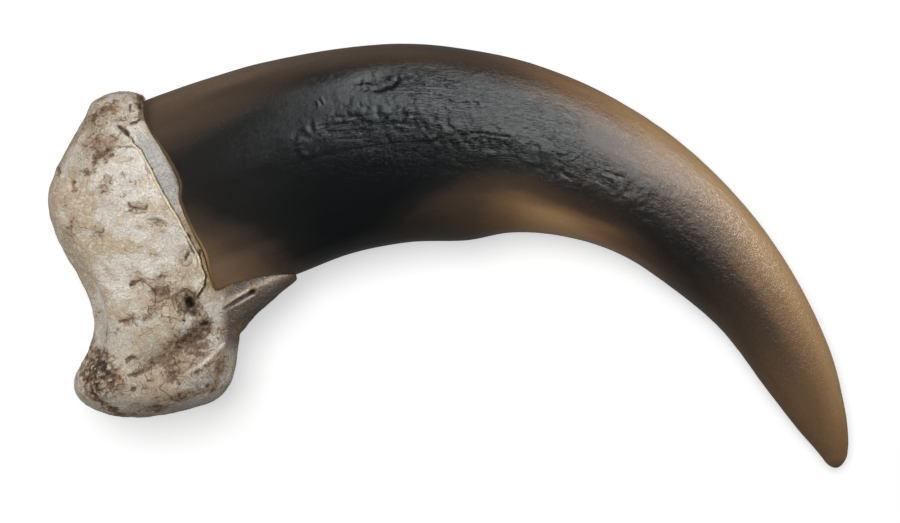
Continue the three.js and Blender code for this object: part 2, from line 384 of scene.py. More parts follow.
def rim_start(surface, turn):
    """The share at which each strip of a surface crosses the rim."""
    strips, which = np.unique(np.round(turn, 5), return_inverse=True)
    shares = np.linspace(0, 0.4, 2000)
    where = surface(*np.broadcast_arrays(shares[:, None], strips[None, :]))
    past = where[..., 0] - rim_at(where[..., 1])
    return shares[np.argmax(past > 0, axis=0)][which]


print("the mouth reaches from X", round(float(rim_x.min()), 1), "to", round(float(rim_x.max()), 1))

# %% [markdown]
# ## A sleeve folded into itself
# The sheath is one drum of quads: its first rings line the hollow, the next turn out over the rim
# and the rest run down to the tip. Bmesh makes a plain drum, cuts it into rings, and every vertex
# then moves to its place. Rings and strips lie closer together where the horn is scratched, and rings
# also towards the tip.

# %% Make the drum
def drum(name, around, rings, capped=False):
    """A mesh object of a tube along Z from 0 to 1, cut into rings."""
    bm = bmesh.new()
    bmesh.ops.create_cone(
        bm, cap_ends=capped, segments=around, radius1=1, radius2=1, depth=1,
        matrix=Matrix.Translation((0, 0, 0.5)),
    )
    uprights = [e for e in bm.edges if abs(e.verts[0].co.z - e.verts[1].co.z) > 0.5]
    bmesh.ops.subdivide_edges(bm, edges=uprights, cuts=rings - 2)
    return placed_mesh(name, bm)


def corners(piece):
    """The places of a piece's vertices, as rows."""
    places = np.empty(len(piece.data.vertices) * 3)
    piece.data.vertices.foreach_get("co", places)
    return places.reshape(-1, 3)


def outward(piece):
    """The directions in which a piece's vertices face."""
    normals = np.empty(len(piece.data.vertices) * 3)
    piece.data.vertices.foreach_get("normal", normals)
    return normals.reshape(-1, 3)


def move_to(piece, places):
    """Moves a piece's vertices."""
    piece.data.vertices.foreach_set("co", np.ascontiguousarray(places).ravel())
    piece.data.update()


def remember(piece, name, values):
    """Keeps a number, or three, for each vertex, for the finish to read."""
    kind = "FLOAT_VECTOR" if values.ndim == 2 else "FLOAT"
    kept = piece.data.attributes.new(name, kind, "POINT")
    field = "vector" if values.ndim == 2 else "value"
    kept.data.foreach_set(field, np.ascontiguousarray(values, dtype=np.float32).ravel())


AROUND = 200
INNER_RINGS = 16
OUTER_RINGS = 440

horn = drum("claw_horn", AROUND, INNER_RINGS + OUTER_RINGS)
print("horn vertices:", len(horn.data.vertices))

# %% Where rings and strips lie close
FINE_SIDE = math.radians(78)  # the scratched flank, as a turn from the back
FINE_TURN = 0.5
FINE_FROM = 0.2
FINE_TO = 0.64
FINE_GAIN = 1.7  # how much closer the rings lie there
TIP_GAIN = 1.5

raw = corners(horn)
ring = np.rint(raw[:, 2] * (INNER_RINGS + OUTER_RINGS - 1)).astype(int)
spun = np.arctan2(raw[:, 1], raw[:, 0])
turn = spun - FINE_TURN * np.sin(spun - FINE_SIDE)
turn = (turn + np.pi) % (2 * np.pi) - np.pi

tries = np.linspace(0, 1, 800)
path = horn_point(tries, np.full(800, math.pi / 2))
pace = np.linalg.norm(np.gradient(path, axis=0), axis=1)
fine = smooth_step(tries, FINE_FROM - 0.05, FINE_FROM + 0.02)
fine *= 1 - smooth_step(tries, FINE_TO - 0.02, FINE_TO + 0.05)
crowd = np.cumsum(pace * (1 + FINE_GAIN * fine + TIP_GAIN * smooth_step(tries, 0.9, 0.95)))
crowd = (crowd - crowd[0]) / (crowd[-1] - crowd[0])
print("rings in the first half of the horn:", int(OUTER_RINGS * np.interp(0.5, tries, crowd)))

# %% Move each ring and strip to its place
is_inner = ring < INNER_RINGS
outer_start = rim_start(horn_point, turn)
inner_start = rim_start(hollow_point, turn)
outer_step = np.clip((ring - INNER_RINGS) / (OUTER_RINGS - 1), 0, 1)
share = outer_start + (1 - outer_start) * np.interp(outer_step, crowd, tries)
inner_step = np.clip(1 - ring / (INNER_RINGS - 1), 0, 1)
inner_share = inner_start + (0.9995 - inner_start) * np.sin(inner_step * math.pi / 2)
form = np.where(is_inner[:, None], hollow_point(inner_share, turn), horn_point(share, turn))
move_to(horn, form)
print("horn, mm:", form.min(axis=0).round(1), "to", form.max(axis=0).round(1))

# %% Close the tip and the hollow's end
bm = bmesh.new()
bm.from_mesh(horn.data)
bm.verts.ensure_lookup_table()
last_ring = INNER_RINGS + OUTER_RINGS - 1
for end in (0, last_ring):
    loop = [bm.verts[i] for i in np.flatnonzero(ring == end)]
    lid = bmesh.ops.contextual_create(bm, geom=loop)
    print("ring", end, "closed with a face of", len(lid["faces"][0].verts), "corners")
bmesh.ops.recalc_face_normals(bm, faces=bm.faces)
bm.to_mesh(horn.data)
bm.free()

# %% [markdown]
# ## Marks on the horn
# A worn claw is scratched along its length and across it, small flakes have come away, and a crack
# runs near its back. Such marks could be sculpted with a brush. Here each is a short line of points
# on the sheet, with a width and a depth in millimetres, so it is easy to move or deepen later. It
# moves real vertices, so light catches its edges. A groove has raised lips, a ridge stands up, a
# crest is a long fold and a step drops on its left side only. Pits and patches are ovals. In some
# the surface has broken up into crumbs, and in others it is combed with scratches too fine to model,
# which the finish adds.

# %% Distances and profiles
def near_line(u, v, points):
    """How far each place lies from a line of points, and on which side of it: 1 is its left."""
    nearest = np.full(u.shape, np.inf)
    side = np.zeros(u.shape)
    for (x0, y0), (x1, y1) in zip(points, points[1:]):
        dx, dy = x1 - x0, y1 - y0
        along = np.clip(((u - x0) * dx + (v - y0) * dy) / (dx * dx + dy * dy), 0, 1)
        ex, ey = u - x0 - along * dx, v - y0 - along * dy
        distance = np.hypot(ex, ey)
        closer = distance < nearest
        nearest = np.where(closer, distance, nearest)
        side = np.where(closer, np.sign(dx * ey - dy * ex), side)
    return nearest, side


def in_oval(u, v, oval, steep=2):
    """1 at an oval's centre and 0 outside it. An oval is a centre, two reaches and a slant."""
    centre_u, centre_v, long, wide, slant = oval
    c, s = math.cos(math.radians(slant)), math.sin(math.radians(slant))
    x, y = u - centre_u, v - centre_v
    return np.exp(-(np.hypot((x * c + y * s) / long, (y * c - x * s) / wide) ** steep))


def patches_at(patches, u, v, steep=2):
    """How strong patches are together at each place on the sheet."""
    return sum(strength * in_oval(u, v, oval, steep) for *oval, strength in patches)


def profile(kind, distance, side, width, deep):
    """How far a mark lifts the surface."""
    across = distance / width
    if kind == "groove":
        return deep * (0.25 * np.exp(-((across - 1.9) ** 2) / 0.8) - np.exp(-(across**2)))
    if kind == "ridge":
        return deep * np.exp(-(across**2))
    if kind == "crest":
        return deep * np.exp(-across)
    run = 7 * width  # a step's floor rises back over this distance
    past = side * distance
    return -deep * smooth_step(past, -width, width) * np.exp(-np.maximum(past, 0) / run)


def marks_lift(u, v, marks, pits=(), crumbs=(), crumbled=0):
    """How far all the marks lift the surface at each place."""
    lift = np.zeros(u.shape)
    for kind, width, deep, *points in marks:
        lift += profile(kind, *near_line(u, v, points), width, deep)
    for *oval, deep, steep in pits:
        lift -= deep * in_oval(u, v, oval, steep)
    return lift + crumbled * patches_at(crumbs, u, v, 4)


print("the middle of a groove, mm:", round(float(profile("groove", 0.0, 1, 0.1, 0.1)), 3))

# %% The horn's marks
HORN_MARKS = [  # kind, width, depth or height, points
    # steep scratches near the base
    ("ridge", 0.11, 0.09, (-18.6, 14.0), (-18.1, 12.8), (-17.6, 11.4)),
    ("ridge", 0.10, 0.06, (-17.7, 11.1), (-17.3, 10.6)),
    ("ridge", 0.11, 0.08, (-16.8, 12.3), (-16.5, 11.8), (-15.8, 11.0)),
    ("ridge", 0.10, 0.05, (-15.6, 12.2), (-14.7, 11.4)),
    ("ridge", 0.11, 0.07, (-15.9, 14.1), (-15.6, 13.6), (-15.3, 13.3)),
    ("ridge", 0.09, 0.04, (-17.7, 13.6), (-16.9, 12.5)),
    ("ridge", 0.09, 0.05, (-15.0, 14.6), (-14.5, 13.5)),
    ("ridge", 0.09, 0.05, (-16.1, 19.4), (-15.5, 20.1)),
    ("ridge", 0.09, 0.05, (-15.3, 19.5), (-14.8, 19.9)),
    ("ridge", 0.11, 0.07, (-14.6, 16.9), (-14.4, 16.5)),
    ("ridge", 0.11, 0.07, (-14.1, 17.3), (-13.9, 16.9)),
    ("ridge", 0.11, 0.07, (-13.2, 19.8), (-12.9, 20.7), (-12.5, 20.2)),
    # the deeper end of the scooped hollow near the back, and an arc below it
    ("groove", 0.35, 0.10, (-8.0, 18.3), (-6.6, 18.8), (-5.9, 19.4)),
    ("groove", 0.12, 0.05, (-10.4, 16.2), (-9.7, 16.4), (-8.9, 16.3)),
    # grooves side by side, along the horn
    ("groove", 0.14, 0.07, (-13.2, 15.1), (-11.6, 15.3), (-8.6, 15.4), (-7.0, 15.3)),
    ("groove", 0.13, 0.07, (-14.1, 14.3), (-11.6, 14.4), (-8.7, 14.5)),
    ("groove", 0.13, 0.06, (-13.6, 13.6), (-11.2, 13.6), (-8.8, 13.6)),
    ("groove", 0.10, 0.04, (-12.5, 13.0), (-10.3, 12.9), (-9.0, 12.5)),
    ("groove", 0.13, 0.06, (-6.9, 15.4), (-5.3, 15.5), (-3.4, 15.5)),
    ("groove", 0.14, 0.08, (-7.0, 14.5), (-5.3, 14.5), (-3.7, 14.3)),
    ("ridge", 0.10, 0.04, (-7.0, 14.2), (-5.1, 14.2), (-3.6, 14.0)),
    ("ridge", 0.12, 0.07, (-3.3, 14.3), (-2.6, 13.2), (-1.9, 12.4), (-1.1, 11.8)),
    # short dashes near the back
    ("groove", 0.11, 0.05, (-5.4, 20.4), (-4.2, 20.5)),
    ("groove", 0.12, 0.06, (-5.2, 19.7), (-3.3, 19.8)),
    ("groove", 0.12, 0.06, (-5.4, 19.0), (-3.0, 19.1)),
    ("groove", 0.11, 0.05, (-5.0, 18.4), (-2.9, 18.5)),
    ("groove", 0.11, 0.05, (-2.4, 20.6), (-1.5, 20.5)),
    ("groove", 0.12, 0.07, (-1.0, 19.8), (-0.2, 19.5), (0.7, 19.2)),
    ("ridge", 0.12, 0.05, (-0.3, 18.7), (0.4, 18.6)),
    ("groove", 0.11, 0.05, (-2.6, 19.1), (-1.1, 18.9)),
    ("ridge", 0.11, 0.04, (2.3, 19.8), (3.3, 20.0), (4.4, 20.5)),
    ("ridge", 0.12, 0.03, (1.1, 17.6), (2.0, 18.5), (2.9, 19.4)),
    # the crack, its branch and the chips beside it
    ("groove", 0.14, 0.13, (-1.9, 17.7), (-0.7, 17.4), (0.0, 16.9), (0.8, 16.8), (3.0, 16.8)),
    ("groove", 0.12, 0.09, (3.0, 17.3), (4.1, 17.4)),
    ("groove", 0.11, 0.06, (-2.0, 18.1), (-1.1, 18.0)),
    ("groove", 0.13, 0.06, (-4.1, 16.8), (-3.9, 17.3)),
    ("groove", 0.13, 0.06, (-0.1, 15.5), (0.3, 15.8)),
    ("groove", 0.12, 0.05, (-1.5, 16.1), (-1.3, 16.2)),
    ("groove", 0.12, 0.05, (1.6, 16.1), (2.0, 16.1)),
    ("ridge", 0.10, 0.03, (3.6, 16.4), (4.5, 15.4)),
    # where flakes have come away
    ("groove", 0.16, 0.12, (1.8, 13.4), (3.3, 13.5), (6.4, 13.1)),
    ("ridge", 0.12, 0.08, (1.9, 12.9), (2.9, 12.1), (4.4, 11.3), (5.9, 11.1)),
    ("ridge", 0.11, 0.06, (3.1, 12.8), (4.4, 12.4), (5.8, 12.2)),
    ("ridge", 0.12, 0.05, (6.7, 11.2), (8.2, 10.6), (9.9, 9.9)),
    ("ridge", 0.10, 0.04, (7.0, 12.1), (8.6, 11.6)),
    ("groove", 0.14, 0.10, (11.7, 11.3), (12.3, 11.0), (13.1, 11.1)),
    ("ridge", 0.11, 0.05, (11.6, 10.6), (12.5, 10.2)),
    ("groove", 0.14, 0.10, (12.1, 9.3), (12.8, 8.8), (13.4, 8.4)),
    ("ridge", 0.12, 0.06, (12.8, 8.6), (13.3, 8.1)),
    ("groove", 0.15, 0.13, (16.8, 9.3), (17.9, 9.0), (19.1, 8.5)),
    ("ridge", 0.12, 0.06, (16.9, 8.9), (17.8, 8.5), (18.6, 8.2)),
    ("ridge", 0.10, 0.05, (0.3, 10.0), (1.9, 9.8)),
    # thin marks where the dark core meets the tan back
    ("groove", 0.10, 0.05, (8.0, 16.9), (8.8, 17.1), (9.6, 17.5)),
    ("groove", 0.10, 0.05, (10.6, 16.5), (11.1, 16.4), (11.8, 16.7), (12.5, 16.5), (13.2, 15.9)),
    ("groove", 0.10, 0.04, (7.6, 14.1), (8.6, 13.8), (9.6, 13.5)),
    ("groove", 0.10, 0.04, (7.7, 13.4), (8.8, 14.1)),
    ("groove", 0.11, 0.06, (13.3, 13.9), (13.5, 14.5), (14.2, 15.0), (15.0, 14.8), (14.0, 14.2)),
    ("groove", 0.10, 0.05, (11.6, 14.5), (12.0, 14.5), (12.1, 14.0), (11.7, 13.9)),
    ("ridge", 0.14, 0.06, (17.1, 15.2), (17.3, 15.1)),
    ("ridge", 0.10, 0.04, (36.6, -13.2), (37.4, -14.2)),
    # the long crest where the claw's upper side turns down to its sole
    ("crest", 2.0, 0.15, (-9.2, 15.5), (-7.0, 15.3), (-3.3, 15.2), (-1.1, 14.3), (0.4, 13.8),
     (5.5, 13.1), (8.9, 12.2), (12.1, 11.0), (15.0, 9.7), (17.6, 8.2), (20.2, 6.5)),
]
print("lines on the horn:", len(HORN_MARKS))

# %% The horn's pits and patches
HORN_PITS = [  # an oval, depth, how steep the sides are
    (-8.0, 19.2, 2.6, 1.1, 10, 0.3, 2),
    (10.5, 15.4, 0.25, 0.25, 0, 0.06, 4),
    (14.5, 12.5, 0.3, 0.22, 0, 0.06, 4),
]
HORN_CRUMBS = [  # an oval and a height: where the surface has crumbled
    (-7.2, 16.7, 1.2, 1.0, 0, 0.04),
    (4.1, 12.2, 2.4, 0.8, -18, 0.07),
    (-5.1, 14.8, 2.0, 0.7, 0, 0.05),
    (-2.2, 12.9, 1.3, 0.7, -45, 0.04),
    (10.0, 10.0, 4.0, 0.8, -22, 0.04),
    (-2.8, 19.7, 4.0, 1.2, 0, 0.04),
    (18.4, 8.8, 2.2, 0.8, -25, 0.03),
    (-11.2, 14.4, 3.3, 1.3, 0, 0.03),
    (-16.3, 13.3, 2.2, 1.6, 40, 0.04),
    (22.0, 7.0, 6.0, 2.2, -40, 0.02),
]
HORN_SCRATCHED = [  # an oval and a strength: where fine scratches lie side by side
    (-10.6, 14.3, 3.6, 1.3, 2, 1.0),
    (-4.8, 14.8, 2.8, 1.1, -2, 1.0),
    (4.6, 12.4, 4.4, 1.2, -14, 0.9),
    (-3.2, 19.3, 4.4, 1.6, 0, 0.8),
    (1.0, 16.6, 9.0, 3.2, -8, 0.35),
    (15.5, 10.0, 6.0, 1.6, -28, 0.6),
    (11.5, 15.0, 4.0, 2.0, -20, 0.35),
]
print("pits and patches on the horn:", len(HORN_PITS) + len(HORN_CRUMBS) + len(HORN_SCRATCHED))

# %% [markdown]
# ## Relief of the horn
# Horn grows as long fibres, so its unevenness is drawn out along the claw. We measure each vertex
# on a straightened horn: its distance along the claw, and where it lies in the section there. Noise
# on those numbers follows the curve, has no seam, and can be stretched along the fibres.

# %% The straightened horn
steps_along = np.linalg.norm(np.diff(path, axis=0), axis=1)
far_along = np.concatenate([[0], np.cumsum(steps_along)])
along = np.interp(share, tries, far_along)
mid_line = (horn_point(share, np.zeros(share.shape)) + horn_point(share, np.full(share.shape, np.pi))) / 2
upwards = np.hypot(*(form - mid_line)[:, :2].T) * np.sign(np.cos(turn))
straight = np.stack([along, upwards, form[:, 2]], -1)
straight[is_inner] = (-4.0, 0.0, 0.0)

across = (1 - across_horn(turn)) / 2  # 0 on the back, 1 on the sole
is_upper = (np.sin(turn) > 0) & ~is_inner
from_rim = np.where(is_inner, 0, along - np.interp(outer_start, tries, far_along))
print("length along the horn, mm:", round(float(along.max()), 1))

# %% Lift the surface
RIM_BEVEL = 0.3  # how far from its mouth the horn begins to thin
RIM_DROP = 0.08  # and by how much
WAVE = 0.06  # the height of the slow unevenness
FIBRE = 0.005
BUMPS = 0.015
STRAY = 0.13  # how far marks stray from their lines
FAINT = 0.35  # what is left of a mark where it is faintest

u, v = as_seen(form)
stray = rough_field(form, 1.1, 3, seed=5), rough_field(form, 1.1, 3, seed=6)
crumbled = rough_field(form, 0.5, 2, seed=7)
strong = FAINT + (1 - FAINT) * smooth_step(rough_field(form, 0.9, 2, seed=8), -0.5, 0.15)
u, v = u + STRAY * stray[0], v + STRAY * stray[1]
marks = marks_lift(u, v, HORN_MARKS, HORN_PITS, HORN_CRUMBS, crumbled)
lift = np.where(is_upper, marks * strong, 0)

slow = rough_field(straight / (3.2, 1, 1), 4.2, 3, seed=1)
fibres = rough_field(straight / (16, 1, 1), 0.9, 3, seed=2)
bumps = rough_field(straight / (1.8, 1, 1), 0.75, 3, seed=3)
near_tip = 1 - smooth_step(share, 0.86, 0.97)
near_base = 1 - smooth_step(share, 0.1, 0.5)
lift += WAVE * slow * near_tip
lift += FIBRE * fibres * (0.5 + near_base) * near_tip
lift += BUMPS * bumps * (0.4 + 0.6 * smooth_step(share, 0.35, 0.6)) * near_tip
lift *= smooth_step(from_rim, 0, 1.2)
lift -= RIM_DROP * (1 - smooth_step(from_rim, 0, RIM_BEVEL))
lift[is_inner] = 0
move_to(horn, form + outward(horn) * lift[:, None])
print("lifted between, mm:", round(float(lift.min()), 2), round(float(lift.max()), 2))

# %% [markdown]
# ## Where the horn is dark
# Pigment runs through the horn as a dark core. Its back stays tan from the middle to the tip, a tan
# patch lies on the sole at the middle, and the last third is brown all over. It could be painted on
# the vertices by hand, but numbers are easier to correct. We give the amount of pigment at the back,
# in the core and at the sole, and where each gives way to the next, at nine stations along the horn.
# The finish turns the amount into colour.

# %% Pigment
BACK_PIGMENT = smoothly([0.62, 0.58, 0.64, 0.66, 0.37, 0.23, 0.30, 0.43, 0.48])
CORE_PIGMENT = smoothly([0.80, 0.88, 1.0, 0.95, 0.83, 0.84, 0.60, 0.55, 0.52])
SOLE_PIGMENT = smoothly([0.36, 0.46, 0.84, 0.68, 0.22, 0.58, 0.58, 0.54, 0.54])
CORE_FROM = smoothly([0.2, 0.17, 0.15, 0.14, 0.23, 0.37, 0.34, 0.4, 0.45])
BACK_SOFT = smoothly([0.15, 0.17, 0.15, 0.12, 0.22, 0.32, 0.3, 0.35, 0.3])
CORE_TO = smoothly([0.60, 0.80, 0.93, 0.64, 0.81, 0.92, 1.0, 1.0, 1.0])
SOLE_SOFT = smoothly([0.26, 0.2, 0.1, 0.13, 0.15, 0.12, 0.1, 0.1, 0.1])
WANDER = 0.05  # how far the borders wander
FAINT_LIP = 0.18  # how strong the amber edge of the mouth is where it is faintest

wander = WANDER * rough_field(straight / (4, 1, 1), 3.0, 2, seed=4)
place = across + wander
to_core = smooth_step(place, CORE_FROM(share) - BACK_SOFT(share), CORE_FROM(share) + BACK_SOFT(share))
to_sole = smooth_step(place, CORE_TO(share) - SOLE_SOFT(share), CORE_TO(share) + SOLE_SOFT(share))
pigment = BACK_PIGMENT(share) * (1 - to_core) + CORE_PIGMENT(share) * to_core
pigment = pigment * (1 - to_sole) + SOLE_PIGMENT(share) * to_sole
remember(horn, "pigment", np.clip(pigment, 0, 1))
remember(horn, "straight", straight)
remember(horn, "from_rim", from_rim)
scratched = np.clip(patches_at(HORN_SCRATCHED, u, v, 4), 0, 1)
remember(horn, "scratched", np.where(is_upper, scratched, 0))
remember(horn, "lip", FAINT_LIP + (1 - FAINT_LIP) * smooth_step(-form[:, 1], -5, 1))
print("mean pigment:", round(float(pigment.mean()), 2))

# %% [markdown]
# ## Writing shaders as sums
# A finish mixes many patterns, and long chains of nodes are hard to read. Here a small class wraps a
# node's output so that Python's own signs add Math nodes, and one method adds any other node.

# %% A socket that reads like a number
class Wire:
    """The output of a node. Signs between wires and numbers add Math nodes."""

    def __init__(self, finish, socket):
        self.finish = finish
        self.socket = socket

    def maths(self, operation, *terms):
        return self.finish.add("Math", {"operation": operation}, dict(enumerate(terms)))

    def __add__(self, other):
        return self.maths("ADD", self, other)

    def __sub__(self, other):
        return self.maths("SUBTRACT", self, other)

    def __rsub__(self, other):
        return self.maths("SUBTRACT", other, self)

    def __mul__(self, other):
        return self.maths("MULTIPLY", self, other)

    def __abs__(self):
        return self.maths("ABSOLUTE", self)

    __radd__ = __add__
    __rmul__ = __mul__


print("what adds a Math node: + - * and abs()")

# %% A material and its nodes
class Finish:
    """A material, and the one way to add nodes to it."""

    def __init__(self, name, **constants):
        self.material = bpy.data.materials.new(name)
        self.material.use_nodes = True
        self.nodes = self.material.node_tree.nodes
        self.links = self.material.node_tree.links
        self.nodes.clear()
        self.shader = self.nodes.new("ShaderNodeBsdfPrincipled")
        for socket, value in constants.items():
            self.shader.inputs[socket.replace("_", " ")].default_value = value
        result = self.nodes.new("ShaderNodeOutputMaterial")
        self.links.new(self.shader.outputs[0], result.inputs[0])

    def feed(self, socket, value):
        """Links a wire to a socket, or sets the socket to a number or colour."""
        if isinstance(value, Wire):
            self.links.new(value.socket, socket)
        else:
            socket.default_value = value

    def add(self, kind, settings, inputs, output=0):
        """Adds a node: its type, its settings, and what its sockets are given."""
        node = self.nodes.new("ShaderNode" + kind)
        for name, value in settings.items():
            if name == "stops":
                self.set_stops(node.color_ramp, value)
            else:
                setattr(node, name, value)
        for name, value in inputs.items():
            self.feed(node.inputs[name], value)
        return Wire(self, node.outputs[output])

    def set_stops(self, ramp, stops):
        """Gives a colour ramp its places and colours."""
        for _ in stops[2:]:
            ramp.elements.new(1.0)
        for element, (place, colour) in zip(ramp.elements, stops):
            element.position = place
            element.color = colour

    def kept(self, name, output="Fac"):
        """What a piece remembers for each vertex."""
        return self.add("Attribute", {"attribute_name": name}, {}, output)

    def stretched(self, vector, scale, shift=(0, 0, 0)):
        """A vector scaled and moved."""
        return self.add("Mapping", {}, {"Vector": vector, "Scale": scale, "Location": shift})

    def noise(self, vector, scale, detail=3.0, rough=0.55):
        """Noise of about 0 to 1 whose patches are about 1 / scale across."""
        inputs = {"Vector": vector, "Scale": scale, "Detail": detail, "Roughness": rough}
        return self.add("TexNoise", {}, inputs)

    def rise(self, value, low, high):
        """0 below low, 1 above high, and a smooth rise between."""
        settings = {"interpolation_type": "SMOOTHSTEP"}
        return self.add("MapRange", settings, {"Value": value, "From Min": low, "From Max": high})

    def line(self, value, inside, outside):
        """1 where a value is about 0, and 0 where it is this far from it."""
        return 1 - self.rise(abs(value), inside, outside)

    def ramp(self, value, stops):
        """A colour for each number."""
        return self.add("ValToRGB", {"stops": stops}, {0: value})

    def larger(self, first, second):
        """The larger of two wires."""
        return first.maths("MAXIMUM", first, second)

    def mix(self, share, first, second):
        """Two colours mixed."""
        return self.add("Mix", {"data_type": "RGBA"}, {0: share, 6: first, 7: second}, output=2)

    def bump(self, height, distance):
        """A normal tilted by a height, which is a share of this distance in metres."""
        return self.add("Bump", {}, {"Height": height, "Distance": distance})

    def surface(self, **wires):
        """Links what changes over the surface to the shader."""
        for socket, wire in wires.items():
            self.feed(self.shader.inputs[socket.replace("_", " ")], wire)


def linear(red, green, blue):
    """A colour given in the usual 0 to 255, as shaders take it: linear, with its alpha."""
    parts = (n / 255 for n in (red, green, blue))
    return *(n / 12.92 if n <= 0.04045 else ((n + 0.055) / 1.055) ** 2.4 for n in parts), 1.0


print("middle grey, to a shader:", [round(n, 3) for n in linear(128, 128, 128)])

# %% [markdown]
# ## The finish of horn
# Horn is keratin, the stuff of fingernails: translucent tan where it has no pigment, nearly black
# where it has much. It is smooth and a little greasy, so its gloss is clear but soft, and under a
# light it shows fine fibres along the claw and a pebbled skin where it has worn. The ramp below
# turns pigment into colour, and noise on the straightened horn breaks it up. Near the base the
# colour is made greyer, a painted grey sheen.

# %% The colours of horn
HORN_COLOURS = [
    (0.0, linear(176, 151, 117)),
    (0.22, linear(144, 116, 82)),
    (0.45, linear(100, 76, 52)),
    (0.66, linear(58, 46, 36)),
    (0.85, linear(24, 23, 22)),
    (1.0, linear(9, 12, 13)),
]
LIP = linear(146, 122, 82)
print("stops of the horn's ramp:", len(HORN_COLOURS))

# %% The finish of horn
def horn_finish():
    """Keratin with its pigment, its pebbled skin and its amber edge."""
    skin = Finish("horn", IOR=1.55)
    where = skin.kept("straight", "Vector")
    along = skin.add("SeparateXYZ", {}, {0: where})
    cloud = skin.noise(skin.stretched(where, (0.25, 1, 1)), 0.55, 4)
    fibre = skin.noise(skin.stretched(where, (0.06, 1, 1)), 2.6, 4, 0.6)
    pebble = skin.noise(skin.stretched(where, (0.7, 1, 1)), 2.4, 3, 0.6)
    swirl = {"Vector": where, "Scale": 3.2, "Detail": 3.0, "Roughness": 0.6, "Distortion": 1.4}
    leather = skin.add("TexNoise", {}, swirl)
    grain = skin.noise(where, 11.0, 2)
    amount = skin.kept("pigment") + (cloud - 0.5) * 0.08 + (fibre - 0.5) * 0.02
    amount = amount + (leather - 0.5) * 0.1
    colour = skin.ramp(amount, HORN_COLOURS)
    # near the base the colour is made greyer: a painted grey sheen
    greyed_as_sheen = {"Saturation": 0.88 + skin.rise(along, 8, 34) * 0.12, "Color": colour}
    colour = skin.add("HueSaturation", {}, greyed_as_sheen)
    edge = 1 - skin.rise(skin.kept("from_rim") + (pebble - 0.5) * 0.2, 0.15, 0.42)
    colour = skin.mix(edge * skin.kept("lip"), colour, LIP)
    strand = skin.noise(skin.stretched(where, (0.14, 1, 1)), 3.0, 2, 0.5)
    strands = skin.line(strand - 0.5, 0.02, 0.08)
    worn = skin.rise(along, 45, 62)
    lively = 0.35 + skin.rise(along, 14, 26) * 0.65
    height = fibre * 0.05 + pebble * (0.22 + worn * 0.36) * lively + grain * 0.07
    height = height + leather * 0.34 * lively - strands * skin.kept("scratched") * 0.5
    normal = skin.bump(height, 0.00011)
    rough = 0.2 + (cloud - 0.5) * 0.08 + (leather - 0.5) * 0.3
    skin.surface(Base_Color=colour, Roughness=rough, Normal=normal)
    return skin.material


horn.data.materials.append(horn_finish())
print("horn nodes:", len(horn.data.materials[0].node_tree.nodes))

# %% [markdown]
# ## The bone's form
# The toe's last bone has three parts: a base with a joint face behind, a shelf under the claw's sole,
# and a core that fills the horn's hollow. Metaballs would melt such lumps into one, but they don't
# follow an outline closely, so each part is a drum moved into shape. The base is trimmed along the
# rim and the shelf is trimmed to the horn, so that the sheath fits them closely. The two are joined,
# and a voxel remesh covers them with small even quads for the marks. The core comes last.

# %% Stations of the base and the shelf
BASE_Y = [
    18.15, 17.8, 16.9, 15.2, 12.6, 9.9, 7.2, 4.2, 1.0, -2.2, -5.2, -8.0, -10.4, -12.5, -14.3, -15.8,
    -17.0, -17.65,
]
BASE_FROM = [
    -36.6, -38.0, -39.3, -40.2, -41.7, -43.1, -44.1, -43.9, -42.7, -40.9, -39.6, -39.2, -39.8,
    -41.0, -41.3, -40.4, -38.3, -36.2,
]
BASE_TO = [
    -35.2, -33.7, -31.9, -29.6, -28.0, -26.9, -26.2, -25.2, -24.3, -23.9, -23.7, -23.2, -23.4,
    -23.7, -24.3, -26.0, -30.0, -33.2,
]
BASE_HALF = [
    0.9, 2.6, 4.2, 5.3, 6.5, 7.5, 8.1, 8.2, 7.9, 7.5, 7.2, 7.1, 7.5, 8.0, 7.7, 6.5, 4.4, 1.8,
]
BASE_SQUARENESS = 2.5
FLANKS = [  # an oval, its rise on the upper side, and the share of that on the lower side
    (-37.6, 8.6, 4.2, 3.0, 60, 0.5, 0.8),
    (-29.6, -10.2, 4.6, 1.7, 29, -1.2, 0.7),
    (-26.4, -11.9, 3.4, 1.2, 35, 0.7, 0.7),
    (-39.0, -13.6, 2.6, 2.2, 0, 0.5, 1.0),
    (-33.8, 1.2, 5.5, 3.2, 100, 0.4, 1.0),
    (-40.6, -2.0, 6.5, 3.2, -68, 0.35, 0.6),
    (-40.6, 13.0, 2.6, 1.4, 55, -0.5, 0.6),
]
JOINT_TOP = 3.4  # the joint's face has two hollows side by side, with a keel between them
JOINT_BOTTOM = -13.0
JOINT_DEEP = 1.3
JOINT_APART = 0.46  # the turn from the keel to each hollow
JOINT_SPREAD = 0.24
SHELF_BACK = [(-29.6, -3.0), (-26.4, -2.8), (-24.0, -1.9), (-21.7, -1.2), (-19.5, -0.8), (-17.4, -0.8)]
SHELF_SOLE = [
    (-27.0, -11.2), (-24.0, -9.4), (-21.6, -6.7), (-19.6, -4.85), (-17.9, -3.45), (-16.8, -2.55),
]
SHELF_HALF = [4.8, 4.8, 4.5, 3.9, 3.0, 1.8]
SHELF_SQUARENESS = 2.6

base_y, base_from, base_to, base_half = (smoothly(n) for n in (BASE_Y, BASE_FROM, BASE_TO, BASE_HALF))
print("slices of the base:", len(BASE_Y), "and sections of the shelf:", len(SHELF_HALF))

# %% Points of the base and the shelf
def flank_rise(x, y, is_under):
    """How far the lumps and hollows lift the base's side."""
    rise = np.zeros(x.shape)
    for *oval, high, under in FLANKS:
        rise += np.where(is_under, under, 1.0) * high * in_oval(x, y, oval)
    return rise


